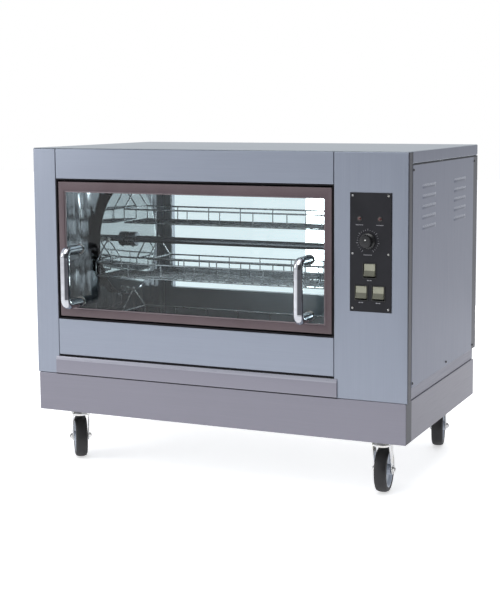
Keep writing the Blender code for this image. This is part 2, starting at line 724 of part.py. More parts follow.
def drive():
    wheels = sprockets()
    outer, inner = [], []
    for (_, tip, z), span in zip(wheels, ((0, 180), (180, 360))):
        inner += arc((AXIS_Y, z), tip + CHAIN_GAP, *span, 14)
        outer += arc((AXIS_Y, z), tip + CHAIN_GAP + CHAIN_HEIGHT, *span, 14)
    finish = material("chain_steel", (0.14, 0.13, 0.13), 0.45, 1.0)
    outline("drive_chain", outer, "X", DRIVE_X - 0.0045, 0.009, finish, hole=inner)
    return [wheel for wheel, _, _ in wheels]


def gearmotor():
    finish = material("motor_paint", (0.12, 0.15, 0.18), 0.5, 0.2)
    z = AXIS_Z - DRIVE_DROP
    x, y = DRIVE_X + 0.012, AXIS_Y
    box = boxes("gearmotor", [((x, y - 0.045, z - 0.055), (x + 0.048, y + 0.045, z + 0.040))],
                finish)
    can = rods("motor_can", [("X", (x + 0.040, y, z - 0.012), 0.078, 0.036)])
    low = SKIRT_TOP + GAP + SHEET + GAP
    foot = boxes("motor_foot", [((x + 0.002, y - 0.060, low), (x + 0.100, y + 0.060, low + 0.003))])
    leg = boxes("motor_leg", [((x + 0.004, y - 0.0445, low + 0.001),
                               (x + 0.008, y + 0.0445, z - 0.050))])
    bore = rods("motor_bore", [("X", (x - 0.01, y, z), 0.040, 0.0065)], None, CUTTERS)
    return cut(fuse(box, can, leg, foot), bore)


# ---------------------------------------------------------------- drip tray

def drip_tray():
    """A drawer whose front is the strip under the lower panel, leaning back along its top."""
    bottom = SKIRT_TOP + GAP + SHEET + 0.0010
    top = 0.293
    x0, x1 = POST_X + 0.030, COLUMN_X - 0.030
    front, back = FRONT + 0.004, BACK - 0.050
    tray = boxes("drip_tray", [((x0, front, bottom), (x1, back, top))], steel())
    face, foot = FRONT - DRAWER_PROUD, SKIRT_TOP + GAP
    section = [(FRONT - GAP, foot), (face, foot), (face, DRAWER_TOP - 0.010)]
    section += [(FRONT - GAP - 0.001, DRAWER_TOP), (FRONT - GAP, DRAWER_TOP)]
    start, end = POST_X - DRAWER_LAP, COLUMN_X + DRAWER_LAP
    strip = outline("tray_front", section, "X", start, end - start)
    link = boxes("tray_link", [((x0, face + 0.0015, bottom + 0.001), (x1, front + 0.001, top))])
    fuse(tray, strip, link)
    return cut_boxes(tray, ((x0 + SHEET, FRONT + 0.008, bottom + SHEET),
                            (x1 - SHEET, back - SHEET, top + 0.02)))


# ---------------------------------------------------------------- door

def door():
    x0, x1 = POST_X + DOOR_SIDE_GAP, COLUMN_X - DOOR_SIDE_GAP
    z0, z1 = OPENING_BOTTOM + DOOR_END_GAP, OPENING_TOP - DOOR_END_GAP
    y0, y1 = DOOR_FRONT, DOOR_FRONT + DOOR_DEPTH
    finish = material("door_frame_brown", (0.115, 0.075, 0.085), 0.45, 0.4)
    frame = boxes("door_frame", [((x0, y0, z0), (x1, y1, z1))], finish)
    gx0, gx1 = x0 + FRAME_SIDE, x1 - FRAME_SIDE
    gz0, gz1 = z0 + FRAME_BOTTOM, z1 - FRAME_TOP
    r, seat = REBATE, y0 + 0.006
    cut_boxes(frame, ((gx0, y0 - 0.01, gz0), (gx1, y1 + 0.01, gz1)),
              ((gx0 - r, seat, gz0 - r), (gx1 + r, y1 + 0.01, gz1 + r)))
    hinge_y, hinge_z = y0 + HINGE_INSET, z1 - HINGE_INSET
    pins = [("X", (x0 - 0.0045, hinge_y, hinge_z), 0.009, 0.003),
            ("X", (x1 - 0.0045, hinge_y, hinge_z), 0.009, 0.003)]
    fuse(frame, rods("hinge_pins", pins, sides=16))
    glass = material("door_glass", (0.80, 0.92, 0.93), 0.04, 0.0, 0.25)
    r -= 0.0005
    pane = boxes("door_glass", [((gx0 - r, seat + GAP, gz0 - r), (gx1 + r, seat + GAP + 0.005, gz1 + r))],
                 glass)
    turns_about((0.0, hinge_y, hinge_z), frame, pane, *handles(seat))


def handles(foot_y):
    chrome = material("handle_chrome", (0.80, 0.80, 0.82), 0.08, 1.0)
    bar_y, bend = FRONT - HANDLE_STANDOFF, HANDLE_BEND
    route = [(foot_y, HANDLE_HIGH)]
    route += arc((bar_y + bend, HANDLE_HIGH - bend), bend, 90, 180, 5)
    route += arc((bar_y + bend, HANDLE_LOW + bend), bend, 180, 270, 5)
    route += [(foot_y, HANDLE_LOW)]
    made = []
    for name, x in zip(("left_handle", "right_handle"), HANDLE_XS):
        bar = tube(name, [(x, y, z) for y, z in route], HANDLE_R, chrome, 3)
        roses = [("Y", (x, foot_y - 0.0045, z), 0.0045, 0.0165) for z in (HANDLE_LOW, HANDLE_HIGH)]
        made.append(fuse(bar, rods(f"{name}_roses", roses)))
    return made


# ---------------------------------------------------------------- controls

def control_plate():
    x0, x1, z0, z1 = PLATE
    finish = material("control_plate_black", (0.020, 0.020, 0.026), 0.35, 0.0)
    y0, y1 = FRONT - GAP - 0.0025, FRONT - GAP
    plate = boxes("control_plate", [((x0, y0, z0), (x1, y1, z1))], finish)
    w, h = ROCKER_WIDTH / 2 + 0.0020, ROCKER_HEIGHT / 2 + 0.0030
    windows = [((x - w, y0 - 0.01, z - h), (x + w, y1 + 0.01, z + h)) for x, z in ROCKERS]
    cut(plate, boxes("rocker_windows", windows, None, CUTTERS))
    holes = [("Y", (x, y0 - 0.01, z), 0.03, 0.0052) for x, z in (*LAMPS, KNOB)]
    cut(plate, rods("plate_holes", holes, None, CUTTERS))


def timer_knob():
    finish = material("knob_black", (0.015, 0.015, 0.015), 0.3, 0.0)
    x, z = KNOB
    y = FRONT - 0.0045
    dial = rods("timer_knob", [("Y", (x, y - 0.004, z), 0.004, 0.0205)], finish)
    grip = rods("knob_grip", [("Y", (x, y - 0.018, z), 0.0145, 0.0165)])
    spindle = rods("knob_spindle", [("Y", (x, y - 0.001, z), 0.022, 0.003)])
    turns_about((x, FRONT, z), fuse(dial, grip, spindle))


def indicator_lamps():
    finish = material("indicator_red", (0.55, 0.03, 0.02), 0.2, 0.0)
    for name, (x, z) in zip(("indicator_lamp_left", "indicator_lamp_right"), LAMPS):
        lens = rods(name, [("Y", (x, FRONT - 0.0055, z), 0.018, 0.0048)], finish)
        fuse(lens, rods(f"{name}_bezel", [("Y", (x, FRONT - 0.0045, z), 0.0012, 0.0068)]))


def rocker_switches():
    finish = material("rocker_cream", (0.42, 0.42, 0.30), 0.35, 0.0)
    half, reach, deep = ROCKER_HEIGHT / 2, 0.0105, 0.012
    section = [(0.0, -reach + 0.0025), (half, -reach), (half, deep), (-half, deep), (-half, -reach)]
    for number, (x, z) in enumerate(ROCKERS, 1):
        pivot = Matrix.Translation((x, FRONT + 0.002, z))
        tilt = Matrix.Rotation(math.radians(-ROCKER_TILT), 4, "X")
        points = [(depth + 0.002, up) for up, depth in section]
        rocker = outline(f"rocker_switch_{number}", points, "X", -ROCKER_WIDTH / 2, ROCKER_WIDTH, finish)
        bm = bmesh.new()
        bm.from_mesh(rocker.data)
        bmesh.ops.transform(bm, matrix=rocker.matrix_world, verts=bm.verts)
        bm.to_mesh(rocker.data)
        bm.free()
        rocker.matrix_world = pivot @ tilt


def build():
    clear_scene()
    base_skirt()
    base_plate()
    body_floor()
    castors()
    front_shell()
    top_cover()
    side_covers()
    rear_shell()
    cable_gland()
    cavity()
    insulation()
    heating_elements()
    cavity_lamp()
    driven_sprocket, drive_sprocket = drive()
    turns_about((0.0, AXIS_Y, AXIS_Z), rotor_shaft(), *discs(), driven_sprocket)
    turns_about((DRIVE_X, AXIS_Y, AXIS_Z - DRIVE_DROP), drive_sprocket)
    bearings()
    baskets()
    gearmotor()
    turns_about((0.0, FRONT, SKIRT_TOP), drip_tray())
    door()
    control_plate()
    timer_knob()
    indicator_lamps()
    rocker_switches()


build()
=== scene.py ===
import json
import math

import bmesh
import bpy
from mathutils import Matrix, Quaternion, Vector


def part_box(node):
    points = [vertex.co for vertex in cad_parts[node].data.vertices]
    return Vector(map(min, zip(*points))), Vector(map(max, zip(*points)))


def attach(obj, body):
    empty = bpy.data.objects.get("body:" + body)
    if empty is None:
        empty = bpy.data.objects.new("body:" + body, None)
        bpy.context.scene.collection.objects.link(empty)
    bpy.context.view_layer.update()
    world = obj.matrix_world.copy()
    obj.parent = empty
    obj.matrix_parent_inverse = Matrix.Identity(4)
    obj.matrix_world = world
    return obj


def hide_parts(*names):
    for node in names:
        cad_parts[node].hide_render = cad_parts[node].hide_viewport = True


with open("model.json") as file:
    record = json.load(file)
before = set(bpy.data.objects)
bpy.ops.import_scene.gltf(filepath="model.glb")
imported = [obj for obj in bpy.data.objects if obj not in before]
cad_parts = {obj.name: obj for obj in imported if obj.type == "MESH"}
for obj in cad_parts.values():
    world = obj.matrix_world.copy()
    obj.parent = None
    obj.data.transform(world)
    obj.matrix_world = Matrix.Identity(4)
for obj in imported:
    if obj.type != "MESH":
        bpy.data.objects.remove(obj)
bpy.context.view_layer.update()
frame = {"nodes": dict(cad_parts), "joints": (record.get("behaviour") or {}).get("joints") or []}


# ==== Studio ====
# A plain white floor and sky under large soft lights, with the camera at the right, a little
# above the top. Reflections see a greyer floor, and one dark corner at the front right.

def aimed(direction, roll=0.0):
    return direction.to_track_quat("-Z", "Y") @ Quaternion((0, 0, 1), roll)


def in_scene(name, data):
    obj = bpy.data.objects.new(name, data)
    bpy.context.scene.collection.objects.link(obj)
    return obj


camera_data = bpy.data.cameras.new("studio_camera")
camera_data.lens = 77.62
camera_data.sensor_width = 36.0
camera_data.shift_x = -0.0533
camera_data.shift_y = -0.0785
camera = in_scene("studio_camera", camera_data)
turn, tilt, roll = math.radians(-23.251), math.radians(6.397), math.radians(-0.205)
sight = Vector((math.sin(turn) * math.cos(tilt), math.cos(turn) * math.cos(tilt), -math.sin(tilt)))
camera.location = (1.5006, -3.3099, 0.9917)
camera.rotation_mode = "QUATERNION"
camera.rotation_quaternion = aimed(sight, roll)
bpy.context.scene.camera = camera
bpy.context.scene.view_settings.view_transform = "Standard"
bpy.context.scene.view_settings.look = "None"


def plug(tree, socket, value):
    """Links a socket to another, or sets it to a number, a vector or an RGB colour."""
    if isinstance(value, bpy.types.NodeSocket):
        tree.links.new(value, socket)
    elif isinstance(value, tuple) and socket.type == "RGBA":
        socket.default_value = (*value, 1.0)
    else:
        socket.default_value = value


def dress(tree, node, **inputs):
    """Sets a node's inputs, whose names are given with underscores for spaces."""
    for key, value in inputs.items():
        plug(tree, node.inputs[key.replace("_", " ")], value)
    return node


def add_node(tree, kind, *values, operation=None, **inputs):
    """A new shader node; values fill its first inputs in order."""
    node = tree.nodes.new(f"ShaderNode{kind}")
    if operation:
        node.operation = operation
    for socket, value in zip(node.inputs, values):
        plug(tree, socket, value)
    return dress(tree, node, **inputs)


def ranged(tree, value, low, high, start=0.3, end=0.7):
    """Maps a value between start and end onto low to high."""
    spread = add_node(tree, "MapRange", value, start, end, low, high)
    return spread.outputs["Result"]


def blend(tree, factor, first, second):
    """A colour between two, each a colour or a socket; factor is a number or a socket."""
    mix = tree.nodes.new("ShaderNodeMix")
    mix.data_type = "RGBA"
    for index, value in ((0, factor), (6, first), (7, second)):
        plug(tree, mix.inputs[index], value)
    return mix.outputs[2]


DARK_CORNER = (0.8, -0.6, 0.0)
CORNER_EDGES = (0.50, 0.76)
sky = bpy.data.worlds.new("studio_sky")
sky.use_nodes = True
bpy.context.scene.world = sky
sky_tree = sky.node_tree
sky_way = add_node(sky_tree, "TexCoord").outputs["Generated"]
sky_ramp = add_node(sky_tree, "ValToRGB")
for element, position, grey in zip(sky_ramp.color_ramp.elements, (0.30, 0.95), (0.42, 0.62)):
    element.position = position
    element.color = (grey, grey * 1.03, grey * 1.08, 1)
sky_ramp.color_ramp.elements.new(0.52).color = (0.84, 0.86, 0.90, 1)
sky_height = add_node(sky_tree, "SeparateXYZ", sky_way).outputs["Z"]
plug(sky_tree, sky_ramp.inputs["Fac"], ranged(sky_tree, sky_height, 0.0, 1.0, -1.0, 1.0))
sky_corner = add_node(sky_tree, "VectorMath", sky_way, DARK_CORNER, operation="DOT_PRODUCT").outputs["Value"]
sky_shade = add_node(sky_tree, "VectorMath", sky_ramp.outputs["Color"], operation="SCALE",
                     Scale=ranged(sky_tree, sky_corner, 1.0, 0.10, *CORNER_EDGES))
sky_light = dress(sky_tree, sky_tree.nodes["Background"], Color=sky_shade.outputs["Vector"], Strength=1.0)
sky_seen = add_node(sky_tree, "Background", (1.0, 1.0, 1.0))
sky_choice = add_node(sky_tree, "MixShader", add_node(sky_tree, "LightPath").outputs["Is Camera Ray"],
                      sky_light.outputs[0], sky_seen.outputs[0])
plug(sky_tree, sky_tree.nodes["World Output"].inputs["Surface"], sky_choice.outputs[0])


def soft_light(name, place, target, size, power):
    data = bpy.data.lights.new(name, "AREA")
    data.shape = "RECTANGLE"
    data.size, data.size_y = size
    data.energy = power
    lamp = in_scene(name, data)
    lamp.location = place
    lamp.rotation_mode = "QUATERNION"
    lamp.rotation_quaternion = aimed(Vector(target) - Vector(place))


soft_light("overhead_light", (0.3, -1.4, 3.6), (0.0, 0.0, 0.5), (3.4, 2.4), 60)
soft_light("left_light", (-3.2, -2.4, 1.8), (0.0, 0.0, 0.5), (1.6, 2.4), 40)
soft_light("window_light", (-0.3, 3.0, 0.45), (-0.1, 0.3, 0.55), (1.5, 0.8), 28)


def new_finish(name, metallic=0.0):
    """A fresh material with its node tree and its main shader."""
    made = bpy.data.materials.new(name)
    made.use_nodes = True
    tree = made.node_tree
    return made, tree, dress(tree, tree.nodes["Principled BSDF"], Metallic=metallic)


def grain(tree, frequency, detail=3.0, distortion=0.0):
    """Noise on object coordinates; frequency is in waves a metre along X, Y and Z."""
    place = add_node(tree, "TexCoord").outputs["Object"]
    scaled = add_node(tree, "Mapping", Vector=place, Scale=frequency).outputs["Vector"]
    noise = add_node(tree, "TexNoise", Vector=scaled, Scale=1.0, Detail=detail, Distortion=distortion)
    return noise.outputs["Fac"]


def roughen(tree, shader, height, strength, distance):
    bump = add_node(tree, "Bump", Strength=strength, Distance=distance, Height=height)
    plug(tree, shader.inputs["Normal"], bump.outputs["Normal"])


def times(values, factor):
    return tuple(v * factor for v in values)


FLOOR_BOUNCE, FLOOR_DARK = (0.80, 0.80, 0.81), (0.10, 0.10, 0.11)
DARK_FROM, DARK_FULLY = 1.6, 3.0
floor_finish, floor_tree, floor_shader = new_finish("studio_floor")
floor_seen = add_node(floor_tree, "LightPath").outputs["Is Camera Ray"]
floor_pale = blend(floor_tree, grain(floor_tree, (1.5, 1.5, 1.5)), (0.93, 0.93, 0.93), (0.97, 0.97, 0.97))
floor_place = add_node(floor_tree, "TexCoord").outputs["Object"]
floor_way = add_node(floor_tree, "VectorMath", floor_place, operation="NORMALIZE").outputs["Vector"]
floor_corner = add_node(floor_tree, "VectorMath", floor_way, DARK_CORNER, operation="DOT_PRODUCT")
floor_reach = add_node(floor_tree, "VectorMath", floor_place, operation="LENGTH").outputs["Value"]
floor_turn = ranged(floor_tree, floor_corner.outputs["Value"], 0.0, 1.0, *CORNER_EDGES)
floor_far = ranged(floor_tree, floor_reach, 0.0, 1.0, DARK_FROM, DARK_FULLY)
floor_side = add_node(floor_tree, "Math", floor_turn, floor_far, operation="MULTIPLY")
floor_bounce = blend(floor_tree, floor_side.outputs[0], FLOOR_BOUNCE, FLOOR_DARK)
dress(floor_tree, floor_shader, Base_Color=blend(floor_tree, floor_seen, floor_bounce, floor_pale),
      Emission_Color=blend(floor_tree, floor_seen, floor_bounce, (1.0, 1.0, 1.0)),
      Emission_Strength=0.55, Roughness=0.85)
floor_mesh = bmesh.new()
bmesh.ops.create_grid(floor_mesh, x_segments=1, y_segments=1, size=14.0,
                      matrix=Matrix.Translation((0.0, 0.0, -0.0005)))
floor_data = bpy.data.meshes.new("studio_floor")
floor_mesh.to_mesh(floor_data)
floor_mesh.free()
floor_data.materials.append(floor_finish)
floor = in_scene("studio_floor", floor_data)


# ==== Base skirt ====
# A rectangular ring of brushed stainless sheet, folded in at its top and bottom edges.
# Its sides are a darker steel as painted shade, darkest by the front corners, and the whole cabinet stands on
# it.

GAUGE = 0.0012
BEND = 0.0022


def brushed_steel(name, frequency, colour, roughness=(0.30, 0.38)):
    """Stainless sheet: long fine grain, faint clouding, and lighter along its bends."""
    finish, tree, shader = new_finish(name, 1.0)
    fine = grain(tree, frequency, 4.0)
    broad = grain(tree, times(frequency, 0.12), 3.0)
    cloud = grain(tree, (2.1, 2.1, 2.1), 2.0, 0.6)
    edge = add_node(tree, "NewGeometry").outputs["Pointiness"]
    tone = blend(tree, ranged(tree, fine, 0.0, 1.0), times(colour, 0.95), times(colour, 1.04))
    for amount, factor in ((ranged(tree, broad, 0.0, 0.25), 0.88), (ranged(tree, cloud, 0.0, 0.30), 1.10),
                           (ranged(tree, edge, 0.0, 0.35, 0.52, 0.60), 1.7)):
        tone = blend(tree, amount, tone, times(colour, factor))
    dress(tree, shader, Base_Color=tone, Roughness=ranged(tree, fine, *roughness))
    roughen(tree, shader, fine, 0.05, 0.0002)
    return finish


STEEL_TONE = (0.27, 0.295, 0.35)
ACROSS = brushed_steel("steel_brushed_across", (9, 700, 700), STEEL_TONE)
UPRIGHT = brushed_steel("steel_brushed_upright", (700, 700, 9), STEEL_TONE)
SKIRT_STEEL = brushed_steel("steel_skirt", (9, 700, 700), (0.225, 0.220, 0.255))
# Painted shade: the skirt's sides are a darker copy of its front steel.
SKIRT_SIDE_SHADED = brushed_steel("steel_skirt_side_painted_shade", (700, 9, 700), (0.168, 0.165, 0.192))
# Painted shade: a dark copy of the stainless for returns and strips turned away from the light, and a near-black
# copy painted as shadow lines along seams.
SHADED_RETURN_STEEL = brushed_steel("steel_shaded_return", (700, 700, 9), (0.060, 0.061, 0.070), (0.34, 0.46))
SEAM_SHADOW_STEEL = brushed_steel("steel_painted_seam_shadow", (700, 700, 9), (0.022, 0.022, 0.028), (0.45, 0.55))


def new_piece(name, bm, *finishes, smooth_angle=35.0, weighted=True):
    """An object from a finished bmesh, shaded smooth with its broad faces kept flat."""
    data = bpy.data.meshes.new(name)
    bm.to_mesh(data)
    bm.free()
    for finish in finishes:
        data.materials.append(finish)
    data.shade_smooth()
    data.set_sharp_from_angle(angle=math.radians(smooth_angle))
    obj = in_scene(name, data)
    if weighted:
        obj.modifiers.new("even_shading", "WEIGHTED_NORMAL").keep_sharp = True
    return obj


def fit(piece, body, slot, *nodes):
    """Mounts a piece on its body and hides the solids it stands for; slot is not used."""
    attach(piece, body)
    if nodes:
        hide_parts(*nodes)
    return piece


def add_block(bm, low, high):
    low, high = Vector(low), Vector(high)
    size = Matrix.Diagonal((*(high - low), 1.0))
    made = bmesh.ops.create_cube(bm, size=1.0, matrix=Matrix.Translation((low + high) / 2) @ size)
    return made["verts"]


def soften(bm, edges, width, segments=3):
    bmesh.ops.bevel(bm, geom=edges, offset=width, offset_type="OFFSET", segments=segments,
                    profile=0.5, affect="EDGES", material=-1)


def soften_sharp(bm, angle, width, segments):
    """Bevels the edges that turn by more than an angle in radians."""
    soften(bm, [e for e in bm.edges if e.calc_face_angle(0.0) > angle], width, segments)


def give_wall(obj, thickness, even=True):
    wall = obj.modifiers.new("wall", "SOLIDIFY")
    wall.thickness = thickness
    wall.offset = -1.0
    wall.use_even_offset = even
    obj.modifiers.move(len(obj.modifiers) - 1, 0)


def slice_at(bm, axis, place):
    """Cuts every face where it crosses a plane, without removing anything."""
    point, normal = [0.0] * 3, [0.0] * 3
    point[axis], normal[axis] = place, 1.0
    bmesh.ops.bisect_plane(bm, geom=bm.verts[:] + bm.edges[:] + bm.faces[:], plane_co=point, plane_no=normal)


def folded_shell(low, high, openings, bend=BEND, lip=0.0):
    """A box of sheet with round bends, open on some sides; lip is left folded in round each."""
    bm = bmesh.new()
    add_block(bm, low, high)
    soften(bm, bm.edges[:], bend)
    for side in openings:
        towards = [f for f in bm.faces if f.normal.dot(Vector(side)) > 0.999]
        panel = max(towards, key=lambda f: f.calc_area())
        if lip:
            bmesh.ops.inset_region(bm, faces=[panel], thickness=lip, use_even_offset=True)
        bmesh.ops.delete(bm, geom=[panel], context="FACES")
    return bm


UP, DOWN = (0, 0, 1), (0, 0, -1)
REAR, AHEAD = (0, 1, 0), (0, -1, 0)
RIGHTWARD, LEFTWARD = (1, 0, 0), (-1, 0, 0)

skirt_low, skirt_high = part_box("base_skirt")
skirt_shell = folded_shell(skirt_low, skirt_high, (UP, DOWN), lip=0.018)
# Painted shade: the front of each skirt side takes the shaded return steel.
CORNER_SHADE_DEPTH = 0.045
slice_at(skirt_shell, 1, skirt_low.y + CORNER_SHADE_DEPTH)
for face in skirt_shell.faces:
    if abs(face.normal.x) > 0.9:
        face.material_index = 1 if face.calc_center_median().y < skirt_low.y + CORNER_SHADE_DEPTH else 2
skirt = new_piece("base_skirt_shell", skirt_shell, SKIRT_STEEL, SHADED_RETURN_STEEL, SKIRT_SIDE_SHADED)
give_wall(skirt, GAUGE)
fit(skirt, "cabinet", "brushed_steel", "base_skirt")


# ==== Base plate and floor pan ====
# Two plain pans inside the skirt: a galvanised plate that carries the castors, and the
# cabinet's floor, whose turned-up edge shows as a dull band above the skirt.

def cleaned(node):
    """A copy of a solid's mesh, with its triangles merged into whole faces."""
    bm = bmesh.new()
    bm.from_mesh(frame["nodes"][node].data)
    bmesh.ops.remove_doubles(bm, verts=bm.verts, dist=1e-5)
    bmesh.ops.dissolve_limit(bm, angle_limit=0.01, verts=bm.verts, edges=bm.edges)
    return bm


def eased(node, width, *finishes, cut_height=None):
    """A copy of a solid with its sharp edges broken, and with an extra line round it if asked."""
    bm = cleaned(node)
    soften_sharp(bm, 0.6, width, 1)
    if cut_height:
        slice_at(bm, 2, cut_height)
    return new_piece(f"{node}_finished", bm, *finishes)


def fit_solid(node, width, finish, slot, body="cabinet"):
    """Fits a solid's own shape with its sharp edges broken."""
    return fit(eased(node, width, finish), body, slot, node)


def galvanised(name, colour):
    """Zinc spangle: flat crystals a few millimetres across, each a slightly different grey."""
    finish, tree, shader = new_finish(name, 0.9)
    place = add_node(tree, "TexCoord").outputs["Object"]
    crystal = add_node(tree, "TexVoronoi", Vector=place, Scale=140.0)
    split = add_node(tree, "SeparateColor", crystal.outputs["Color"])
    tone = blend(tree, split.outputs[0], times(colour, 0.75), times(colour, 1.15))
    dress(tree, shader, Base_Color=tone, Roughness=ranged(tree, split.outputs[1], 0.38, 0.58, 0.0, 1.0))
    return finish


GALVANISED = galvanised("galvanised_sheet", (0.45, 0.46, 0.47))
DULL_STEEL = brushed_steel("floor_pan_steel", (9, 9, 500), (0.20, 0.20, 0.23), (0.40, 0.52))
fit_solid("base_plate", 0.0005, GALVANISED, "galvanised_steel")
fit_solid("body_floor", 0.0004, DULL_STEEL, "floor_pan_steel")


# ==== Castors ====
# Four swivel castors: a zinc-plated plate with a ball race, a pressed fork riveted to a
# crown, and a black rubber tyre on a pale nylon hub that turns on a bolt with a nut.

def coated(name, metallic, patches, first, second, roughness, texture, strength, depth, gloss=0.5):
    """Colour and gloss drift in patches over a bump; patches and texture are given as for grain."""
    finish, tree, shader = new_finish(name, metallic)
    pattern = grain(tree, *patches)
    dress(tree, shader, Base_Color=blend(tree, ranged(tree, pattern, 0.0, 1.0), first, second),
          Roughness=ranged(tree, pattern, *roughness), Specular_IOR_Level=gloss)
    roughen(tree, shader, grain(tree, *texture) if texture else pattern, strength, depth)
    return finish


def plated(name, colour, roughness=(0.22, 0.42)):
    """Zinc plate with faint passivation colour and a dull bloom in patches."""
    warm = tuple(c * k for c, k in zip(colour, (1.08, 1.04, 0.92)))
    return coated(name, 1.0, ((40, 40, 40), 3.0, 0.4), colour, warm, roughness,
                  ((400, 400, 400), 2.0), 0.15, 0.0002)


def moulded(name, colour, roughness, texture=900.0, depth=0.0002, metallic=0.0, gloss=0.5):
    """A moulded plastic or rubber with a fine matt texture and handling marks."""
    worn = tuple(min(1.0, c * 1.25 + 0.006) for c in colour)
    return coated(name, metallic, ((30, 30, 30), 3.0), colour, worn, roughness,
                  ((texture,) * 3, 2.0), 0.25, depth, gloss)


ZINC = plated("castor_zinc", (0.62, 0.63, 0.65))
BRIGHT_ZINC = plated("fork_zinc", (0.74, 0.75, 0.78), (0.14, 0.28))
TYRE_RUBBER = moulded("tyre_rubber", (0.012, 0.012, 0.013), (0.45, 0.65))
HUB_NYLON = moulded("hub_nylon", (0.46, 0.50, 0.56), (0.30, 0.45), 500.0)


def add_disc(bm, start, end, radius, end_radius=None, sides=32):
    """A round bar or cone between two points, with its ends closed."""
    start, end = Vector(start), Vector(end)
    run = end - start
    matrix = Matrix.Translation((start + end) / 2) @ run.to_track_quat("Z", "Y").to_matrix().to_4x4()
    made = bmesh.ops.create_cone(bm, cap_ends=True, segments=sides, radius1=radius,
                                 radius2=radius if end_radius is None else end_radius,
                                 depth=run.length, matrix=matrix)
    return made["verts"]


def add_discs(bm, base, direction, *steps):
    """Discs along a line; each gives its start, its end, and what else add_disc takes."""
    base, direction = Vector(base), Vector(direction)
    for start, end, *rest in steps:
        add_disc(bm, base + direction * start, base + direction * end, *rest)


def turned(bm, profile, matrix, sides=48):
    """Spins a closed outline of (radius, height) points about Z, then places it."""
    corners = [bm.verts.new((r, 0.0, z)) for r, z in profile]
    edges = [bm.edges.new(pair) for pair in zip(corners, corners[1:] + corners[:1])]
    bmesh.ops.spin(bm, geom=corners + edges, axis=(0, 0, 1), cent=(0, 0, 0), angle=math.tau,
                   steps=sides, use_merge=True)
    linked = set(corners)
    grow = list(corners)
    while grow:
        vert = grow.pop()
        for edge in vert.link_edges:
            other = edge.other_vert(vert)
            if other not in linked:
                linked.add(other)
                grow.append(other)
    bmesh.ops.recalc_face_normals(bm, faces=list({f for v in linked for f in v.link_faces}))
    bmesh.ops.transform(bm, matrix=matrix, verts=list(linked))


def find_joint(name):
    return next(j for j in frame["joints"] if j["name"] == name)


def laid(place, angle, axis):
    """Turns about an axis by an angle in radians, then moves to a place."""
    return Matrix.Translation(place) @ Matrix.Rotation(angle, 4, axis)


QUARTER = math.radians(90)
SIDE_TURN = Matrix.Rotation(QUARTER, 4, "Y")
WHEEL_HALF, FORK_GAUGE = 0.017, 0.0028
for corner in ("front_left", "front_right", "rear_left", "rear_right"):
    swivel, roll = find_joint(f"castor_swivel_{corner}"), find_joint(f"castor_roll_{corner}")
    pivot, hub = Vector(swivel["pos_m"]), Vector(roll["pos_m"])
    radius = hub.z
    heading = math.atan2(roll["axis"][1], roll["axis"][0])
    place = laid(hub, heading, "Z") @ SIDE_TURN

    tyre = bmesh.new()
    crown = [(radius - 0.0125, -0.0152), (radius - 0.008, -0.0168), (radius - 0.003, -0.0145)]
    crown += [(radius - 0.0006, -0.008), (radius - 0.0001, 0.0), (radius - 0.0006, 0.008)]
    crown += [(radius - 0.003, 0.0145), (radius - 0.008, 0.0168), (radius - 0.0125, 0.0152)]
    turned(tyre, crown, place, 64)
    fit(new_piece(f"castor_tyre_{corner}", tyre, TYRE_RUBBER, weighted=False),
        f"castor_wheel_{corner}", "castor_rubber", f"castor_wheel_{corner}")

    wheel = bmesh.new()
    web = [(0.0056, -0.0188), (0.0135, -0.0188), (0.0150, -0.0085), (radius - 0.020, -0.0065)]
    web += [(radius - 0.0165, -0.0148), (radius - 0.0128, -0.0148)]
    turned(wheel, web + [(r, -z) for r, z in reversed(web)], place, 64)
    fit(new_piece(f"castor_hub_{corner}", wheel, HUB_NYLON, weighted=False),
        f"castor_wheel_{corner}", "castor_rubber")

    fork = bmesh.new()
    inside = WHEEL_HALF + 0.004
    axis_place = laid((pivot.x, pivot.y, 0), heading, "Z")
    trail = math.hypot(hub.x - pivot.x, hub.y - pivot.y)
    for side in (-1, 1):
        plate = bmesh.ops.create_cube(fork, size=1.0)["verts"]
        for vert in plate:
            top, ahead = vert.co.z > 0, vert.co.y > 0
            x = side * (inside + (FORK_GAUGE if vert.co.x * side > 0 else 0.0))
            y = (0.022 if ahead else -0.021) if top else trail + (0.0125 if ahead else -0.0125)
            vert.co = Vector((x, y, 0.1385 if top else radius))
        add_discs(fork, (side * inside, trail, radius), (side, 0, 0), (0.0, FORK_GAUGE, 0.0130),
                  (FORK_GAUGE, 0.0075, 0.0082, None, 6), (0.0075, 0.0100, 0.0048))
    add_disc(fork, (-inside, trail, radius), (inside, trail, radius), 0.0050)
    add_discs(fork, (0, 0, 0), UP, (0.1275, 0.1330, 0.0245, 0.0270), (0.1330, 0.1402, 0.0270, 0.0240))
    add_block(fork, (-inside - FORK_GAUGE, -0.021, 0.1300), (inside + FORK_GAUGE, 0.022, 0.1345))
    soften_sharp(fork, 0.8, 0.0007, 2)
    bmesh.ops.transform(fork, matrix=axis_place, verts=fork.verts[:])
    fit(new_piece(f"castor_fork_shaped_{corner}", fork, BRIGHT_ZINC),
        f"castor_fork_{corner}", "zinc", f"castor_fork_{corner}")

    fit_solid(f"castor_plate_{corner}", 0.0004, ZINC, "zinc")
    bolts = bmesh.new()
    for dx in (-0.034, 0.034):
        for dy in (-0.029, 0.029):
            add_discs(bolts, (pivot.x + dx, pivot.y + dy, 0.1545), DOWN, (0.0, 0.0010, 0.0085),
                      (0.0010, 0.0060, 0.0065, None, 6))
    soften_sharp(bolts, 0.7, 0.0003, 1)
    fit(new_piece(f"castor_bolts_{corner}", bolts, ZINC), "cabinet", "zinc")


# ==== Front shell ====
# Four folded stainless pieces make the face: a narrow post on the left, a header and a
# lower panel above and below the door, and the broad column that holds the controls.

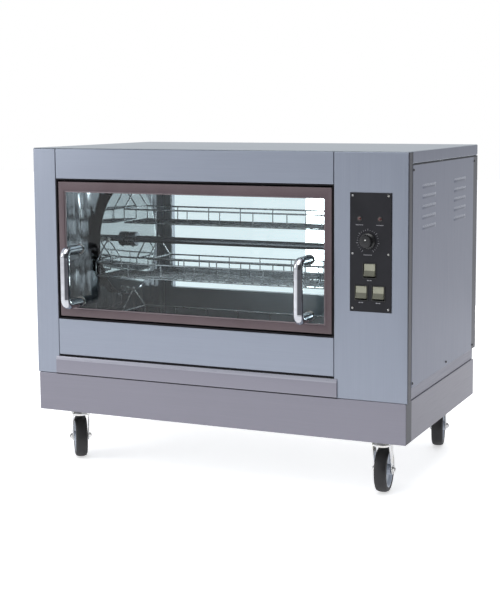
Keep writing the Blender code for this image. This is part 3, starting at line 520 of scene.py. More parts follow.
def cut_window(bm, facing, spans):
    """Cuts a rectangle out of the faces along one axis; spans maps an axis to its two limits."""
    for axis, limits in spans.items():
        for limit in limits:
            slice_at(bm, axis, limit)
    doomed = [f for f in bm.faces if abs(f.normal[facing]) > 0.9 and all(
        a < f.calc_center_median()[axis] < b for axis, (a, b) in spans.items())]
    bmesh.ops.delete(bm, geom=doomed, context="FACES")


def sheet_piece(node, shell, *finishes):
    """Thickens a folded shell into the sheet of one piece."""
    made = new_piece(f"{node}_sheet", shell, *finishes)
    give_wall(made, GAUGE)
    return made


# Width of the painted shadow lines along the edges of each return.
SEAM = 0.005


def shade_returns(shell, direction, front_edge, depth):
    """The folded side of a front piece is painted darker as shade, with a painted shadow line along both its
    edges.
    """
    for y in (front_edge + SEAM, front_edge + depth - SEAM):
        slice_at(shell, 1, y)
    for face in shell.faces:
        y = face.calc_center_median().y - front_edge
        if face.normal.dot(Vector(direction)) > 0.9:
            face.material_index = 1 if SEAM < y < depth - SEAM else 2


front_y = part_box("header_panel")[0].y
post_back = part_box("left_front_post")[1].y
for node, finish, outer in (("left_front_post", UPRIGHT, LEFTWARD), ("header_panel", ACROSS, None),
                            ("lower_front_panel", ACROSS, None), ("control_column", UPRIGHT, RIGHTWARD)):
    shell = folded_shell(*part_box(node), (REAR,))
    if outer:
        shade_returns(shell, outer, front_y, post_back - front_y)
    if node == "control_column":
        plate_low, plate_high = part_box("control_plate")
        margin = 0.008
        cut_window(shell, 1, {0: (plate_low.x + margin, plate_high.x - margin),
                              2: (plate_low.z + margin, plate_high.z - margin)})
    fit(sheet_piece(node, shell, finish, SHADED_RETURN_STEEL, SEAM_SHADOW_STEEL), "cabinet", "brushed_steel", node)


# ==== Top and side covers ====
# The top is one pan of sheet with its sides and back folded down. Each side is closed by a
# flat lift-off panel with two columns of pressed louvres, held by small pan-head screws.

top_low, top_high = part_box("top_cover")
top_shell = folded_shell(top_low, top_high, (DOWN,), 0.0030)
slice_at(top_shell, 1, post_back + 0.0004)
flange_top = top_high.z - 0.0016
slice_at(top_shell, 2, flange_top)
in_front = [f for f in top_shell.faces
            if f.calc_center_median().y < post_back and f.calc_center_median().z < flange_top]
bmesh.ops.delete(top_shell, geom=in_front, context="FACES")
# Painted light and shade: the top is a lighter copy of the stainless, and its folded sides and the side covers a
# darker copy.
TOP_SHEET_LIT = brushed_steel("steel_top_painted_light", (9, 700, 700), (0.36, 0.40, 0.43), (0.32, 0.40))
SIDE_SHEET_SHADED = brushed_steel("steel_side_painted_shade", (700, 700, 9), (0.138, 0.148, 0.186), (0.32, 0.40))
LOUVRE_HIGHLIGHT_STEEL = brushed_steel("steel_louvre_painted_highlight", (300, 300, 300), (0.250, 0.262, 0.305), (0.24, 0.34))
for face in top_shell.faces:
    if abs(face.normal.z) < 0.5:
        face.material_index = 1
fit(sheet_piece("top_cover", top_shell, TOP_SHEET_LIT, SIDE_SHEET_SHADED), "cabinet", "brushed_steel", "top_cover")

LOUVRE_LENGTH, LOUVRE_HEIGHT, LOUVRE_RISE = 0.118, 0.0110, 0.0027
LOUVRE_TOP, LOUVRE_PITCH, LOUVRE_ROWS = 0.799, 0.0262, 5
REAR_SHADE_STRIP, SHADOW_LINE = 0.045, 0.0035
COVER_DEPTH, COVER_GAUGE = 0.0040, 0.0008


def add_louvre(bm, face_x, side, y, z):
    """A pressed hood: its top and ends are in the sheet and its lower lip stands out; its upper faces are a
    lighter steel as a painted highlight.
    """
    grid = bmesh.ops.create_grid(bm, x_segments=16, y_segments=4, size=0.5)["verts"]
    for vert in grid:
        along, down = vert.co.x * 2, 0.5 - vert.co.y
        lift = LOUVRE_RISE * math.sin(down * math.pi / 2) * (1 - abs(along) ** 6)
        vert.co = Vector((face_x + side * lift, y + vert.co.x * LOUVRE_LENGTH, z - down * LOUVRE_HEIGHT))
    faces = {f for v in grid for f in v.link_faces}
    for face in faces:
        face.normal_update()
        # Painted highlight: the upper faces of each hood take a lighter steel.
        face.material_index = 3 if face.calc_center_median().z > z - LOUVRE_HEIGHT * 0.6 else 0
    if any(f.normal.x * side < 0 for f in faces):
        bmesh.ops.reverse_faces(bm, faces=list(faces))


def louvre_places():
    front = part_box("left_front_post")[0].y
    for y in (front + 0.1720, front + 0.4630):
        for row in range(LOUVRE_ROWS):
            yield y, LOUVRE_TOP - row * LOUVRE_PITCH


for node, side, inward in (("left_side_cover", -1, RIGHTWARD), ("right_side_cover", 1, LEFTWARD)):
    low, high = (Vector(c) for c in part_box(node))
    face_x = top_high.x if side > 0 else top_low.x
    low.x, high.x = sorted((face_x, face_x - side * COVER_DEPTH))
    shell = folded_shell(low, high, (inward,), 0.0015)
    for y, z in louvre_places():
        cut_window(shell, 0, {1: (y - LOUVRE_LENGTH / 2, y + LOUVRE_LENGTH / 2), 2: (z - LOUVRE_HEIGHT, z)})
    slice_at(shell, 1, high.y - REAR_SHADE_STRIP)
    slice_at(shell, 2, high.z - SHADOW_LINE)
    # Painted shade: the rear strip of each cover takes the shaded return steel, and a painted shadow line runs
    # along its top edge.
    for face in shell.faces:
        middle = face.calc_center_median()
        if middle.z > high.z - SHADOW_LINE:
            face.material_index = 2
        elif middle.y > high.y - REAR_SHADE_STRIP:
            face.material_index = 1
    for y, z in louvre_places():
        add_louvre(shell, face_x, side, y, z)
    cover = new_piece(f"{node}_sheet", shell, SIDE_SHEET_SHADED, SHADED_RETURN_STEEL, SEAM_SHADOW_STEEL, LOUVRE_HIGHLIGHT_STEEL)
    for face in cover.data.polygons:
        face.use_smooth = abs(face.normal.x) < 0.999
    give_wall(cover, COVER_GAUGE, even=False)
    fit(cover, "cabinet", "brushed_steel", node)


def add_screw(bm, seat, outward, radius):
    """A pan head with a cross recess; the recess is the second material."""
    outward = Vector(outward)
    head = add_disc(bm, seat, seat + outward * radius * 0.55, radius, radius * 0.72, 20)
    rim = {e for v in head for e in v.link_edges if e.calc_face_angle(0.0) > 0.5}
    soften(bm, list(rim), radius * 0.12, 2)
    bm.faces.ensure_lookup_table()
    turn = outward.to_track_quat("Z", "Y").to_matrix().to_4x4()
    for quarter in (0, 1):
        slot = bmesh.ops.create_cube(bm, size=1.0)["verts"]
        size = Matrix.Diagonal((radius * 1.05, radius * 0.24, radius * 0.10, 1.0))
        spin = Matrix.Rotation(math.radians(20 + 90 * quarter), 4, "Z")
        lift = Matrix.Translation(seat + outward * radius * 0.53)
        bmesh.ops.transform(bm, matrix=lift @ turn @ spin @ size, verts=slot)
        for face in {f for v in slot for f in v.link_faces}:
            face.material_index = 1


SCREW_STEEL = plated("screw_steel", (0.58, 0.59, 0.61), (0.18, 0.32))
COVER_SCREW = plated("cover_screw_steel", (0.085, 0.087, 0.095), (0.25, 0.40))
COVER_SCREW_Z = 0.8387
RECESS = moulded("screw_recess", (0.015, 0.015, 0.016), (0.5, 0.7))


def screws(name, seats, outward, radius, finish=None):
    bm = bmesh.new()
    for seat in seats:
        add_screw(bm, Vector(seat), outward, radius)
    return fit(new_piece(name, bm, finish or SCREW_STEEL, RECESS, weighted=False), "cabinet", "zinc")


for node, side in (("left_side_cover", -1), ("right_side_cover", 1)):
    low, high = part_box(node)
    x = side * abs(top_high.x)
    ys = (low.y + 0.006, (low.y + high.y) / 2, high.y - 0.035)
    seats = [(x, y, COVER_SCREW_Z) for y in (ys[0], ys[2])] + [(x, y, low.z + 0.012) for y in ys]
    screws(f"{node}_screws", seats, (side, 0, 0), 0.0038, finish=COVER_SCREW)


# ==== Rear of the cabinet ====
# A flat rear panel with a framed window, and a service cover with vent slots behind the
# control column, where the supply cable enters through a gland.

REAR_SHEET = brushed_steel("steel_rear_sheet", (700, 700, 9), (0.24, 0.25, 0.285), (0.32, 0.44))
for node in ("rear_panel", "rear_column_cover"):
    fit_solid(node, 0.0004, REAR_SHEET, "brushed_steel")
for node in ("rear_panel", "rear_column_cover"):
    low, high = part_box(node)
    xs = (low.x + 0.012, (low.x + high.x) / 2, high.x - 0.012)
    seats = [(x, high.y, z) for x in xs for z in (low.z + 0.014, high.z - 0.016)]
    screws(f"{node}_screws", seats, REAR, 0.0038)
# Black rubber for the door seals, which also darken the gap round the door as painted shade; the same black is
# painted as shadow in the drawer gap and along the drawer's bottom edge.
SEAL_AND_SHADOW_BLACK = moulded("seal_rubber_and_painted_shadow", (0.008, 0.007, 0.009), (0.55, 0.75), gloss=0.12)
GLAND = moulded("gland_black", (0.02, 0.02, 0.02), (0.35, 0.5))
fit_solid("cable_gland", 0.0004, GLAND, "gland_plastic")


def clear_glass(name, tint, smear):
    """Flat glass that lets light through, with faint wiping marks in its gloss."""
    finish, tree, shader = new_finish(name)
    marks = grain(tree, (6, 6, 22), 4.0, 0.8)
    dress(tree, shader, Base_Color=blend(tree, ranged(tree, marks, 0.0, 1.0), tint, times(tint, 0.985)),
          Roughness=ranged(tree, marks, 0.0, smear, 0.5, 0.8), Transmission_Weight=1.0, IOR=1.32)
    through = add_node(tree, "BsdfTransparent", tint)
    choose = add_node(tree, "MixShader", add_node(tree, "LightPath").outputs["Is Shadow Ray"],
                      shader.outputs[0], through.outputs[0])
    plug(tree, tree.nodes["Material Output"].inputs["Surface"], choose.outputs[0])
    return finish


def refinish(node, finish):
    """Gives a solid that keeps its own mesh a new material."""
    obj = frame["nodes"][node]
    for place in obj.material_slots:
        place.material = finish


refinish("rear_glass", clear_glass("rear_window_glass", (0.86, 0.95, 0.96), 0.02))


# ==== Cavity ====
# The chamber is lined with polished stainless: two side walls, a rear wall with the window
# opening and a ceiling, over a floor that is brown-black from baking. Two hairpin elements
# and a lamp hang under the ceiling, and mineral wool fills the left side.

def polished_steel(name, colour, wave=0.35, roughness=(0.05, 0.16), buckles=(7, 7, 4)):
    """Mirror sheet with slow buckles from its fixings, and a haze of fine scratches."""
    return coated(name, 1.0, ((5, 5, 5), 4.0, 0.5), colour, times(colour, 0.82), roughness, (buckles, 1.0, 0.3),
                  wave, 0.010)


MIRROR = polished_steel("cavity_mirror_steel", (0.62, 0.65, 0.69))
DISC_STEEL = polished_steel("disc_mirror_steel", (0.48, 0.51, 0.52), 0.10, (0.04, 0.10))
# Painted shade: the left wall is a much darker copy of the mirror steel, with stronger buckles.
BUCKLED_SHADED_MIRROR = polished_steel("cavity_buckled_painted_shade_steel", (0.20, 0.21, 0.23), 1.0, (0.10, 0.20), (5, 26, 6))
BACK_LINING = polished_steel("cavity_rear_steel", (0.68, 0.73, 0.77), 0.15, (0.28, 0.38))
for node, lining in (("cavity_left_wall", BUCKLED_SHADED_MIRROR), ("cavity_right_wall", MIRROR),
                     ("cavity_rear_wall", BACK_LINING), ("cavity_ceiling", MIRROR)):
    fit_solid(node, 0.0003, lining, "polished_steel")


# The floor has burnt-on streaks and shiny fat spots.
BAKED, baked_tree, baked_shader = new_finish("baked_floor_steel", 0.85)
stain = grain(baked_tree, (9, 14, 9), 5.0, 1.2)
spots = grain(baked_tree, (70, 70, 70), 2.0)
baked_tone = blend(baked_tree, ranged(baked_tree, stain, 0.0, 1.0), (0.040, 0.044, 0.054), (0.014, 0.014, 0.016))
dress(baked_tree, baked_shader, Base_Color=baked_tone, Roughness=ranged(baked_tree, spots, 0.18, 0.50))
roughen(baked_tree, baked_shader, stain, 0.3, 0.002)
fit_solid("cavity_floor", 0.0003, BAKED, "cavity_floor_steel")

WOOL, wool_tree, wool_shader = new_finish("mineral_wool")
strands = grain(wool_tree, (60, 300, 60), 6.0, 2.0)
dress(wool_tree, wool_shader, Base_Color=blend(wool_tree, strands, (0.50, 0.42, 0.24), (0.74, 0.68, 0.50)),
      Roughness=ranged(wool_tree, strands, 0.85, 1.0))
roughen(wool_tree, wool_shader, strands, 0.8, 0.003)
fit_solid("left_insulation", 0.0040, WOOL, "mineral_wool")


def rounded_route(points, radius, steps=6):
    """The route through some points with its corners turned on arcs."""
    route = [Vector(points[0])]
    for before, corner, after in zip(points, points[1:], points[2:]):
        corner = Vector(corner)
        back, on = (Vector(before) - corner).normalized(), (Vector(after) - corner).normalized()
        half = back.angle(on) / 2
        reach = radius / math.tan(half)
        centre = corner + (back + on).normalized() * (radius / math.sin(half))
        start, end = corner + back * reach - centre, corner + on * reach - centre
        spin = start.rotation_difference(end)
        route += [centre + Quaternion().slerp(spin, i / steps) @ start for i in range(steps + 1)]
    return route + [Vector(points[-1])]


def add_wire(bm, route, radius, sides=8):
    """Draws a round section along a route by extruding its end again and again."""
    aim = (route[1] - route[0]).normalized()
    start = Matrix.Translation(route[0]) @ aim.to_track_quat("Z", "Y").to_matrix().to_4x4()
    ring = bmesh.ops.create_circle(bm, cap_ends=True, segments=sides, radius=radius, matrix=start)["verts"]
    end = next(iter(set(ring[0].link_faces)))
    for i in range(1, len(route)):
        onward = (route[min(i + 1, len(route) - 1)] - route[i - 1]).normalized()
        if i == len(route) - 1:
            onward = (route[i] - route[i - 1]).normalized()
        made = bmesh.ops.extrude_face_region(bm, geom=[end])["geom"]
        end = next(g for g in made if isinstance(g, bmesh.types.BMFace))
        turn = aim.rotation_difference(onward).to_matrix().to_4x4()
        move = Matrix.Translation(route[i]) @ turn @ Matrix.Translation(-route[i - 1])
        bmesh.ops.transform(bm, matrix=move, verts=end.verts[:])
        aim = onward


def tube_piece(name, route, radius, finish, sides):
    bm = bmesh.new()
    add_wire(bm, route, radius, sides)
    bmesh.ops.recalc_face_normals(bm, faces=bm.faces[:])
    return new_piece(name, bm, finish, weighted=False, smooth_angle=50)


# The heater sheath is dark oxide with straw and blue temper colours along the run.
HEATER = coated("heater_oxide", 0.9, ((5, 30, 30), 2.0), (0.10, 0.075, 0.055), (0.055, 0.060, 0.085),
                (0.35, 0.55), ((300, 300, 300),), 0.2, 0.0003)
for node in ("heating_element_front", "heating_element_rear"):
    low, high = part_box(node)
    r = (high.z - low.z) / 2
    y0, y1, z = low.y + r, high.y - r, (low.z + high.z) / 2
    bend = (y1 - y0) / 2
    hairpin = [(high.x, y0, z), (low.x + r, y0, z), (low.x + r, y1, z), (high.x, y1, z)]
    loop = rounded_route(hairpin, bend * 0.999, 12)
    fit(tube_piece(f"{node}_tube", loop, r, HEATER, 16), "cabinet", "heater_sheath", node)

lamp_low, lamp_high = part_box("cavity_lamp")
lamp_x, lamp_y = ((lamp_low + lamp_high) / 2).xy
lamp_glass, lamp_tree, lamp_shader = new_finish("lamp_frosted_glass")
lamp_tone = blend(lamp_tree, grain(lamp_tree, (90, 90, 90)), (0.86, 0.82, 0.68), (0.95, 0.93, 0.85))
dress(lamp_tree, lamp_shader, Base_Color=lamp_tone, Roughness=0.30)
roughen(lamp_tree, lamp_shader, grain(lamp_tree, (900, 900, 900)), 0.3, 0.0002)
lamp = bmesh.new()
dome = bmesh.ops.create_uvsphere(lamp, u_segments=32, v_segments=16, radius=0.0205)["verts"]
for vert in dome:
    vert.co.z = min(vert.co.z, 0.004) * 0.72
bmesh.ops.transform(lamp, matrix=Matrix.Translation((lamp_x, lamp_y, lamp_low.z + 0.0150)), verts=dome)
add_disc(lamp, (lamp_x, lamp_y, lamp_high.z - 0.0070), (lamp_x, lamp_y, lamp_high.z), 0.022)
fit(new_piece("cavity_lamp_glass", lamp, lamp_glass, weighted=False), "cabinet", "lamp_glass", "cavity_lamp")


# ==== Rotor ====
# A turned steel shaft with clamped hubs carries a polished disc at each end. Four pins near
# the edge of each disc hold the baskets, and bronze bearings carry the shaft in the walls.

SHAFT_STEEL = brushed_steel("shaft_turned_steel", (9, 500, 500), (0.17, 0.18, 0.20), (0.22, 0.34))
PIN_STEEL = plated("pin_steel", (0.45, 0.46, 0.48), (0.18, 0.30))
spin_joint = find_joint("rotor_spin")
axis_y, axis_z = spin_joint["pos_m"][1:]
shaft_low, shaft_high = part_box("rotor_shaft")
shaft_r = 0.010
left_disc_low, left_disc_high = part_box("left_disc")
right_disc_low, right_disc_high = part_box("right_disc")
disc_r = (left_disc_high.z - left_disc_low.z) / 2
HUB_R = 0.0215
left_face, right_face = left_disc_low.x + 0.002, right_disc_high.x - 0.002
pivots = [Vector(j["pos_m"]) for j in frame["joints"] if j["name"].startswith("basket_")]

rotor_bar = bmesh.new()
add_disc(rotor_bar, (shaft_low.x, axis_y, axis_z), (shaft_high.x, axis_y, axis_z), shaft_r)
for face_x, inward in ((left_face, 1), (right_face, -1)):
    add_discs(rotor_bar, (face_x, axis_y, axis_z), (inward, 0, 0), (0.0015, 0.0050, HUB_R),
              (0.0045, 0.0090, HUB_R - 0.0030), (0.0085, 0.0280, HUB_R),
              (0.0275, 0.0295, HUB_R - 0.0010, HUB_R - 0.0040))
    seat = face_x + inward * 0.018
    add_disc(rotor_bar, (seat, axis_y - 0.006, axis_z - 0.019), (seat, axis_y - 0.0078, axis_z - 0.0235), 0.0032)
soften_sharp(rotor_bar, 0.9, 0.0006, 2)
fit(new_piece("rotor_shaft_turned", rotor_bar, SHAFT_STEEL), "rotor", "shaft_steel", "rotor_shaft")

for name, face_x, inward in (("left_disc", left_face, 1), ("right_disc", right_face, -1)):
    disc = bmesh.new()
    back_x = face_x - inward * 0.002
    profile = [(0.0106, 0.0), (disc_r - 0.003, 0.0), (disc_r - 0.0006, 0.0004), (disc_r, 0.0010),
               (disc_r - 0.0006, 0.0017), (disc_r - 0.003, 0.0020), (0.0106, 0.0020)]
    lay = laid((back_x, axis_y, axis_z), inward * QUARTER, "Y")
    turned(disc, profile, lay, 128)
    fit(new_piece(f"{name}_plate", disc, DISC_STEEL, weighted=False, smooth_angle=30),
        "rotor", "polished_steel", name)
    pins = bmesh.new()
    reach = left_disc_high.x - face_x if inward > 0 else face_x - right_disc_low.x
    for pivot in pivots:
        add_discs(pins, (face_x, pivot.y, pivot.z), (inward, 0, 0), (-0.0060, -0.0020, 0.0070, None, 6),
                  (0.0, 0.0015, 0.0085), (-0.0020, reach, 0.0040), (reach - 0.0014, reach, 0.0062))
    soften_sharp(pins, 0.9, 0.0003, 1)
    fit(new_piece(f"{name}_pins", pins, PIN_STEEL), "rotor", "shaft_steel")

BRONZE = plated("bearing_bronze", (0.50, 0.33, 0.14), (0.25, 0.42))
for node in ("left_bearing", "right_bearing"):
    fit_solid(node, 0.0004, BRONZE, "bearing_bronze")


# ==== Baskets ====
# Four wire baskets of plated steel. Each has a heavy rim and hangers, uprights every tenth
# of a metre, and a tray of fine longitudinal wires welded over cross wires.

BASKET_WIRE = coated("basket_plated_wire", 1.0, ((30, 60, 60), 3.0), (0.56, 0.58, 0.61), (0.30, 0.31, 0.33),
                     (0.16, 0.36), ((500, 500, 500),), 0.15, 0.0002)
basket_low, basket_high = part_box("basket_1")
hang_x0, hang_x1 = basket_low.x + 0.0021, basket_high.x - 0.0021
half_width = 0.070
rim_drop, floor_drop = 0.058, 0.098
BAYS, FLOOR_WIRES, CROSS_EACH = 7, 13, 4


def basket_wires(centre):
    """All wires of one basket, as (route, radius) about its pivot line."""
    def at(x, y, z):
        return Vector((x, centre.y + y, centre.z + z))
    stations = [hang_x0 + (hang_x1 - hang_x0) * i / BAYS for i in range(BAYS + 1)]
    for y in (-half_width, half_width):
        yield [at(hang_x0, y, -rim_drop), at(hang_x1, y, -rim_drop)], 0.0024
        yield [at(hang_x0, y, -floor_drop), at(hang_x1, y, -floor_drop)], 0.0019
    for x in stations:
        u_frame = [at(x, -half_width, -rim_drop + 0.001), at(x, -half_width, -floor_drop),
                   at(x, half_width, -floor_drop), at(x, half_width, -rim_drop + 0.001)]
        yield rounded_route(u_frame, 0.006, 3), 0.0017
    for x in (hang_x0, hang_x1):
        yield [at(x, -half_width, -rim_drop), at(x, half_width, -rim_drop)], 0.0021
        for side in (-1, 1):
            yield [at(x, side * 0.0048, -0.002), at(x, side * half_width, -rim_drop)], 0.0021
    for i in range(1, FLOOR_WIRES):
        y = -half_width + 2 * half_width * i / FLOOR_WIRES
        yield [at(hang_x0, y, -floor_drop + 0.0022), at(hang_x1, y, -floor_drop + 0.0022)], 0.0011
    for i in range(BAYS * CROSS_EACH):
        x = hang_x0 + (hang_x1 - hang_x0) * (i + 0.5) / (BAYS * CROSS_EACH)
        yield [at(x, -half_width, -floor_drop), at(x, half_width, -floor_drop)], 0.0011


for hang in (j for j in frame["joints"] if j["name"].startswith("basket_")):
    body, centre = hang["child"], Vector(hang["pos_m"])
    wires = bmesh.new()
    for route, r in basket_wires(centre):
        add_wire(wires, route, r, 8 if r > 0.0015 else 6)
    for x in (hang_x0, hang_x1):
        ring = [Vector((x, centre.y + 0.0062 * math.cos(a), centre.z + 0.0062 * math.sin(a)))
                for a in (math.tau * i / 16 for i in range(17))]
        add_wire(wires, ring, 0.0018, 8)
    bmesh.ops.recalc_face_normals(wires, faces=wires.faces[:])
    fit(new_piece(f"{body}_wires", wires, BASKET_WIRE, weighted=False, smooth_angle=60),
        body, "basket_wire", body)


# ==== Drive ====
# Behind the control column a gearmotor turns a small sprocket, and a roller chain drives
# the larger sprocket on the rotor shaft. They keep a film of dark oil.

def oiled(name, colour):
    return coated(name, 0.95, ((60, 60, 60), 4.0, 0.8), colour, times(colour, 0.35), (0.18, 0.48),
                  None, 0.2, 0.0008)


SPROCKET = oiled("sprocket_oiled", (0.24, 0.24, 0.25))
CHAIN = oiled("chain_oiled", (0.16, 0.15, 0.15))
MOTOR = moulded("motor_enamel", (0.030, 0.045, 0.060), (0.30, 0.50), 260.0, 0.0004, 0.2)
fit_solid("driven_sprocket", 0.0004, SPROCKET, "sprocket_steel", "rotor")
fit_solid("drive_sprocket", 0.0004, SPROCKET, "sprocket_steel", "drive_shaft")
fit_solid("drive_chain", 0.0005, CHAIN, "sprocket_steel")
fit_solid("gearmotor", 0.0008, MOTOR, "motor_paint")


# ==== Drip tray ====
# A shallow drawer under the cavity. Its front is the brushed sill strip below the lower
# panel, with a rolled top edge painted lighter as a highlight and a black painted shadow line along its bottom.

LIP_HIGHLIGHT_STEEL = brushed_steel("steel_lip_painted_highlight", (9, 700, 700), (0.30, 0.30, 0.34), (0.26, 0.34))
# Height of the black painted shadow line along the drawer front's bottom edge.
HEM_SHADOW_HEIGHT = 0.0020
tray_low, tray_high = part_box("drip_tray")
tray = eased("drip_tray", 0.0005, SKIRT_STEEL, LIP_HIGHLIGHT_STEEL, SEAL_AND_SHADOW_BLACK, cut_height=tray_low.z + HEM_SHADOW_HEIGHT)
# Painted light and shade: the sloped top faces take a lighter steel as a highlight, and the front's bottom strip
# is black as a shadow line.
for face in tray.data.polygons:
    if 0.1 < face.normal.z < 0.6 and face.normal.y < -0.5:
        face.material_index = 1
    elif face.center.z < tray_low.z + HEM_SHADOW_HEIGHT and face.center.y < front_y:
        face.material_index = 2
fit(tray, "drip_tray", "brushed_steel", "drip_tray")

# Painted shadow: a black strip set just behind the gap between the tray and the lower panel.
panel_low, panel_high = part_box("lower_front_panel")
gap_shadow_block = bmesh.new()
add_block(gap_shadow_block, (panel_low.x + 0.001, front_y + 0.0012, tray_high.z + 0.0005),
          (panel_high.x - 0.001, front_y + 0.0032, panel_low.z - 0.0002))
soften(gap_shadow_block, gap_shadow_block.edges[:], 0.0004, 2)
fit(new_piece("drawer_gap_painted_shadow", gap_shadow_block, SEAL_AND_SHADOW_BLACK), "cabinet", "castor_rubber")


# ==== Door ====
# A brown coated frame round one pane of glass, hung on two pins at its top corners. A pale
# bead holds the glass, a black seal lines the opening, and two chrome bars are the handles.

def door_coat(name):
    """Baked brown coating with a faint metallic flake, rubbed thinner at its edges."""
    finish, tree, shader = new_finish(name, 0.25)
    cloud = grain(tree, (8, 8, 8), 3.0)
    flake = grain(tree, (900, 900, 900), 1.0)
    edge = add_node(tree, "NewGeometry").outputs["Pointiness"]
    tone = blend(tree, ranged(tree, cloud, 0.0, 1.0), (0.078, 0.052, 0.060), (0.105, 0.074, 0.082))
    tone = blend(tree, ranged(tree, flake, 0.0, 0.25, 0.5, 0.8), tone, (0.30, 0.24, 0.24))
    tone = blend(tree, ranged(tree, edge, 0.0, 0.5, 0.52, 0.62), tone, (0.32, 0.27, 0.27))
    dress(tree, shader, Base_Color=tone, Roughness=ranged(tree, cloud, 0.30, 0.44))
    roughen(tree, shader, flake, 0.08, 0.0002)
    return finish


def picture_frame(low, high, widths, edge_width, segments=3):
    """A rounded rectangular ring in the XZ plane; widths are its sides, its bottom and its top."""
    side, bottom, top = widths
    middle = (low + high) / 2
    bm = bmesh.new()
    add_block(bm, low, high)
    caps = [f for f in bm.faces if abs(f.normal.y) > 0.9]
    bmesh.ops.inset_individual(bm, faces=caps, thickness=0.0010, use_even_offset=True)
    for vert in {v for f in caps for v in f.verts}:
        vert.co.x = low.x + side if vert.co.x < middle.x else high.x - side
        vert.co.z = low.z + bottom if vert.co.z < middle.z else high.z - top
    rims = [f.edges[:] for f in caps]
    bmesh.ops.delete(bm, geom=caps, context="FACES_ONLY")
    bmesh.ops.bridge_loops(bm, edges=rims[0] + rims[1])
    soften_sharp(bm, 0.8, edge_width, segments)
    return bm


FRAME_COAT = door_coat("door_brown_coat")
BEAD = brushed_steel("bead_steel", (200, 200, 200), (0.20, 0.17, 0.18), (0.30, 0.40))
frame_low, frame_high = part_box("door_frame")
PIN_OUT, REBATE = 0.0045, 0.0080
BORDER = Vector((0.0185, 0.0210, 0.0250))
frame_low.x += PIN_OUT
frame_high.x -= PIN_OUT
glass_low, glass_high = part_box("door_glass")
seat_y = glass_low.y - 0.0002
hinge = find_joint("door_hinge")
front_half = picture_frame(frame_low, Vector((frame_high.x, seat_y, frame_high.z)), BORDER, 0.0016)
fit(new_piece("door_frame_front", front_half, FRAME_COAT), "door", "door_frame_brown", "door_frame")
rear_half = picture_frame(Vector((frame_low.x, seat_y, frame_low.z)), frame_high,
                          BORDER - Vector((REBATE,) * 3), 0.0008, 2)
fit(new_piece("door_frame_back", rear_half, FRAME_COAT), "door", "door_frame_brown")
pins = bmesh.new()
for x in (frame_low.x, frame_high.x):
    add_disc(pins, (x - PIN_OUT, *hinge["pos_m"][1:]), (x + PIN_OUT, *hinge["pos_m"][1:]), 0.0030)
fit(new_piece("door_hinge_pins", pins, PIN_STEEL), "door", "zinc")
inner_low = Vector((frame_low.x + BORDER.x, glass_low.y - 0.0045, frame_low.z + BORDER.y))
inner_high = Vector((frame_high.x - BORDER.x, glass_low.y - 0.0001, frame_high.z - BORDER.z))
overlap = Vector((0.0003, 0, 0.0003))
bead = picture_frame(inner_low - overlap, inner_high + overlap, (0.0040,) * 3, 0.0012, 3)
fit(new_piece("glass_bead", bead, BEAD), "door", "door_frame_brown")
# The black seal round the opening and its lip are rubber, and they also darken the gap round the door as painted
# shade.
opening_low = Vector((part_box("left_front_post")[1].x, front_y + 0.0002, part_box("lower_front_panel")[1].z))
opening_high = Vector((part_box("control_column")[0].x, front_y + 0.0280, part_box("header_panel")[0].z))
seal = picture_frame(opening_low, opening_high, (0.0040, 0.0040, 0.0035), 0.0005, 1)
fit(new_piece("door_opening_seal", seal, SEAL_AND_SHADOW_BLACK), "cabinet", "castor_rubber")
lip_low = Vector((opening_low.x, front_y + 0.0225, opening_low.z))
lip = picture_frame(lip_low, opening_high, (0.0110, 0.0110, 0.0130), 0.0008, 2)
fit(new_piece("door_seal_lip", lip, SEAL_AND_SHADOW_BLACK), "cabinet", "castor_rubber")
refinish("door_glass", clear_glass("door_pane_glass", (0.90, 0.97, 0.97), 0.03))

CHROME = coated("handle_chrome", 1.0, ((25, 25, 60), 3.0), (0.62, 0.63, 0.66), (0.52, 0.53, 0.56), (0.03, 0.10),
                None, 0.03, 0.001)
BAR_R = 0.0125
ROSE_STEEL = plated("handle_rose_steel", (0.16, 0.165, 0.175), (0.20, 0.34))
rose_profile = [(0.004, 0.0), (0.0145, 0.0), (0.0145, 0.0008), (0.0138, 0.0020), (BAR_R + 0.0003, 0.0026)]
rose_profile.append((0.004, 0.0028))
for node in ("left_handle", "right_handle"):
    low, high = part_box(node)
    x = (low.x + high.x) / 2
    rose = (high.x - low.x) / 2
    foot_y, bar_y = high.y, low.y + BAR_R
    z0, z1 = low.z + rose, high.z - rose
    route = rounded_route([(x, foot_y, z1), (x, bar_y, z1), (x, bar_y, z0), (x, foot_y, z0)], 0.0160, 10)
    fit(tube_piece(f"{node}_bar", route, BAR_R, CHROME, 32), "door", "handle_chrome", node)
    roses = bmesh.new()
    for z in (z0, z1):
        lay = laid((x, foot_y, z), QUARTER, "X")
        turned(roses, rose_profile, lay, 40)
    fit(new_piece(f"{node}_roses", roses, ROSE_STEEL, weighted=False, smooth_angle=50),
        "door", "handle_chrome")
    nuts = bmesh.new()
    for z in (z0, z1):
        add_discs(nuts, (x, glass_high.y, z), REAR, (0.0, 0.0015, 0.0140), (0.0015, 0.0060, 0.0085, None, 6))
    soften_sharp(nuts, 0.8, 0.0004, 1)
    fit(new_piece(f"{node}_nuts", nuts, SCREW_STEEL), "door", "zinc")


# ==== Controls ====
# A black printed plate on the column, held by six small screws. It carries two red lamps,
# a timer knob over a ring of ticks, and three cream rocker switches in their bezels.

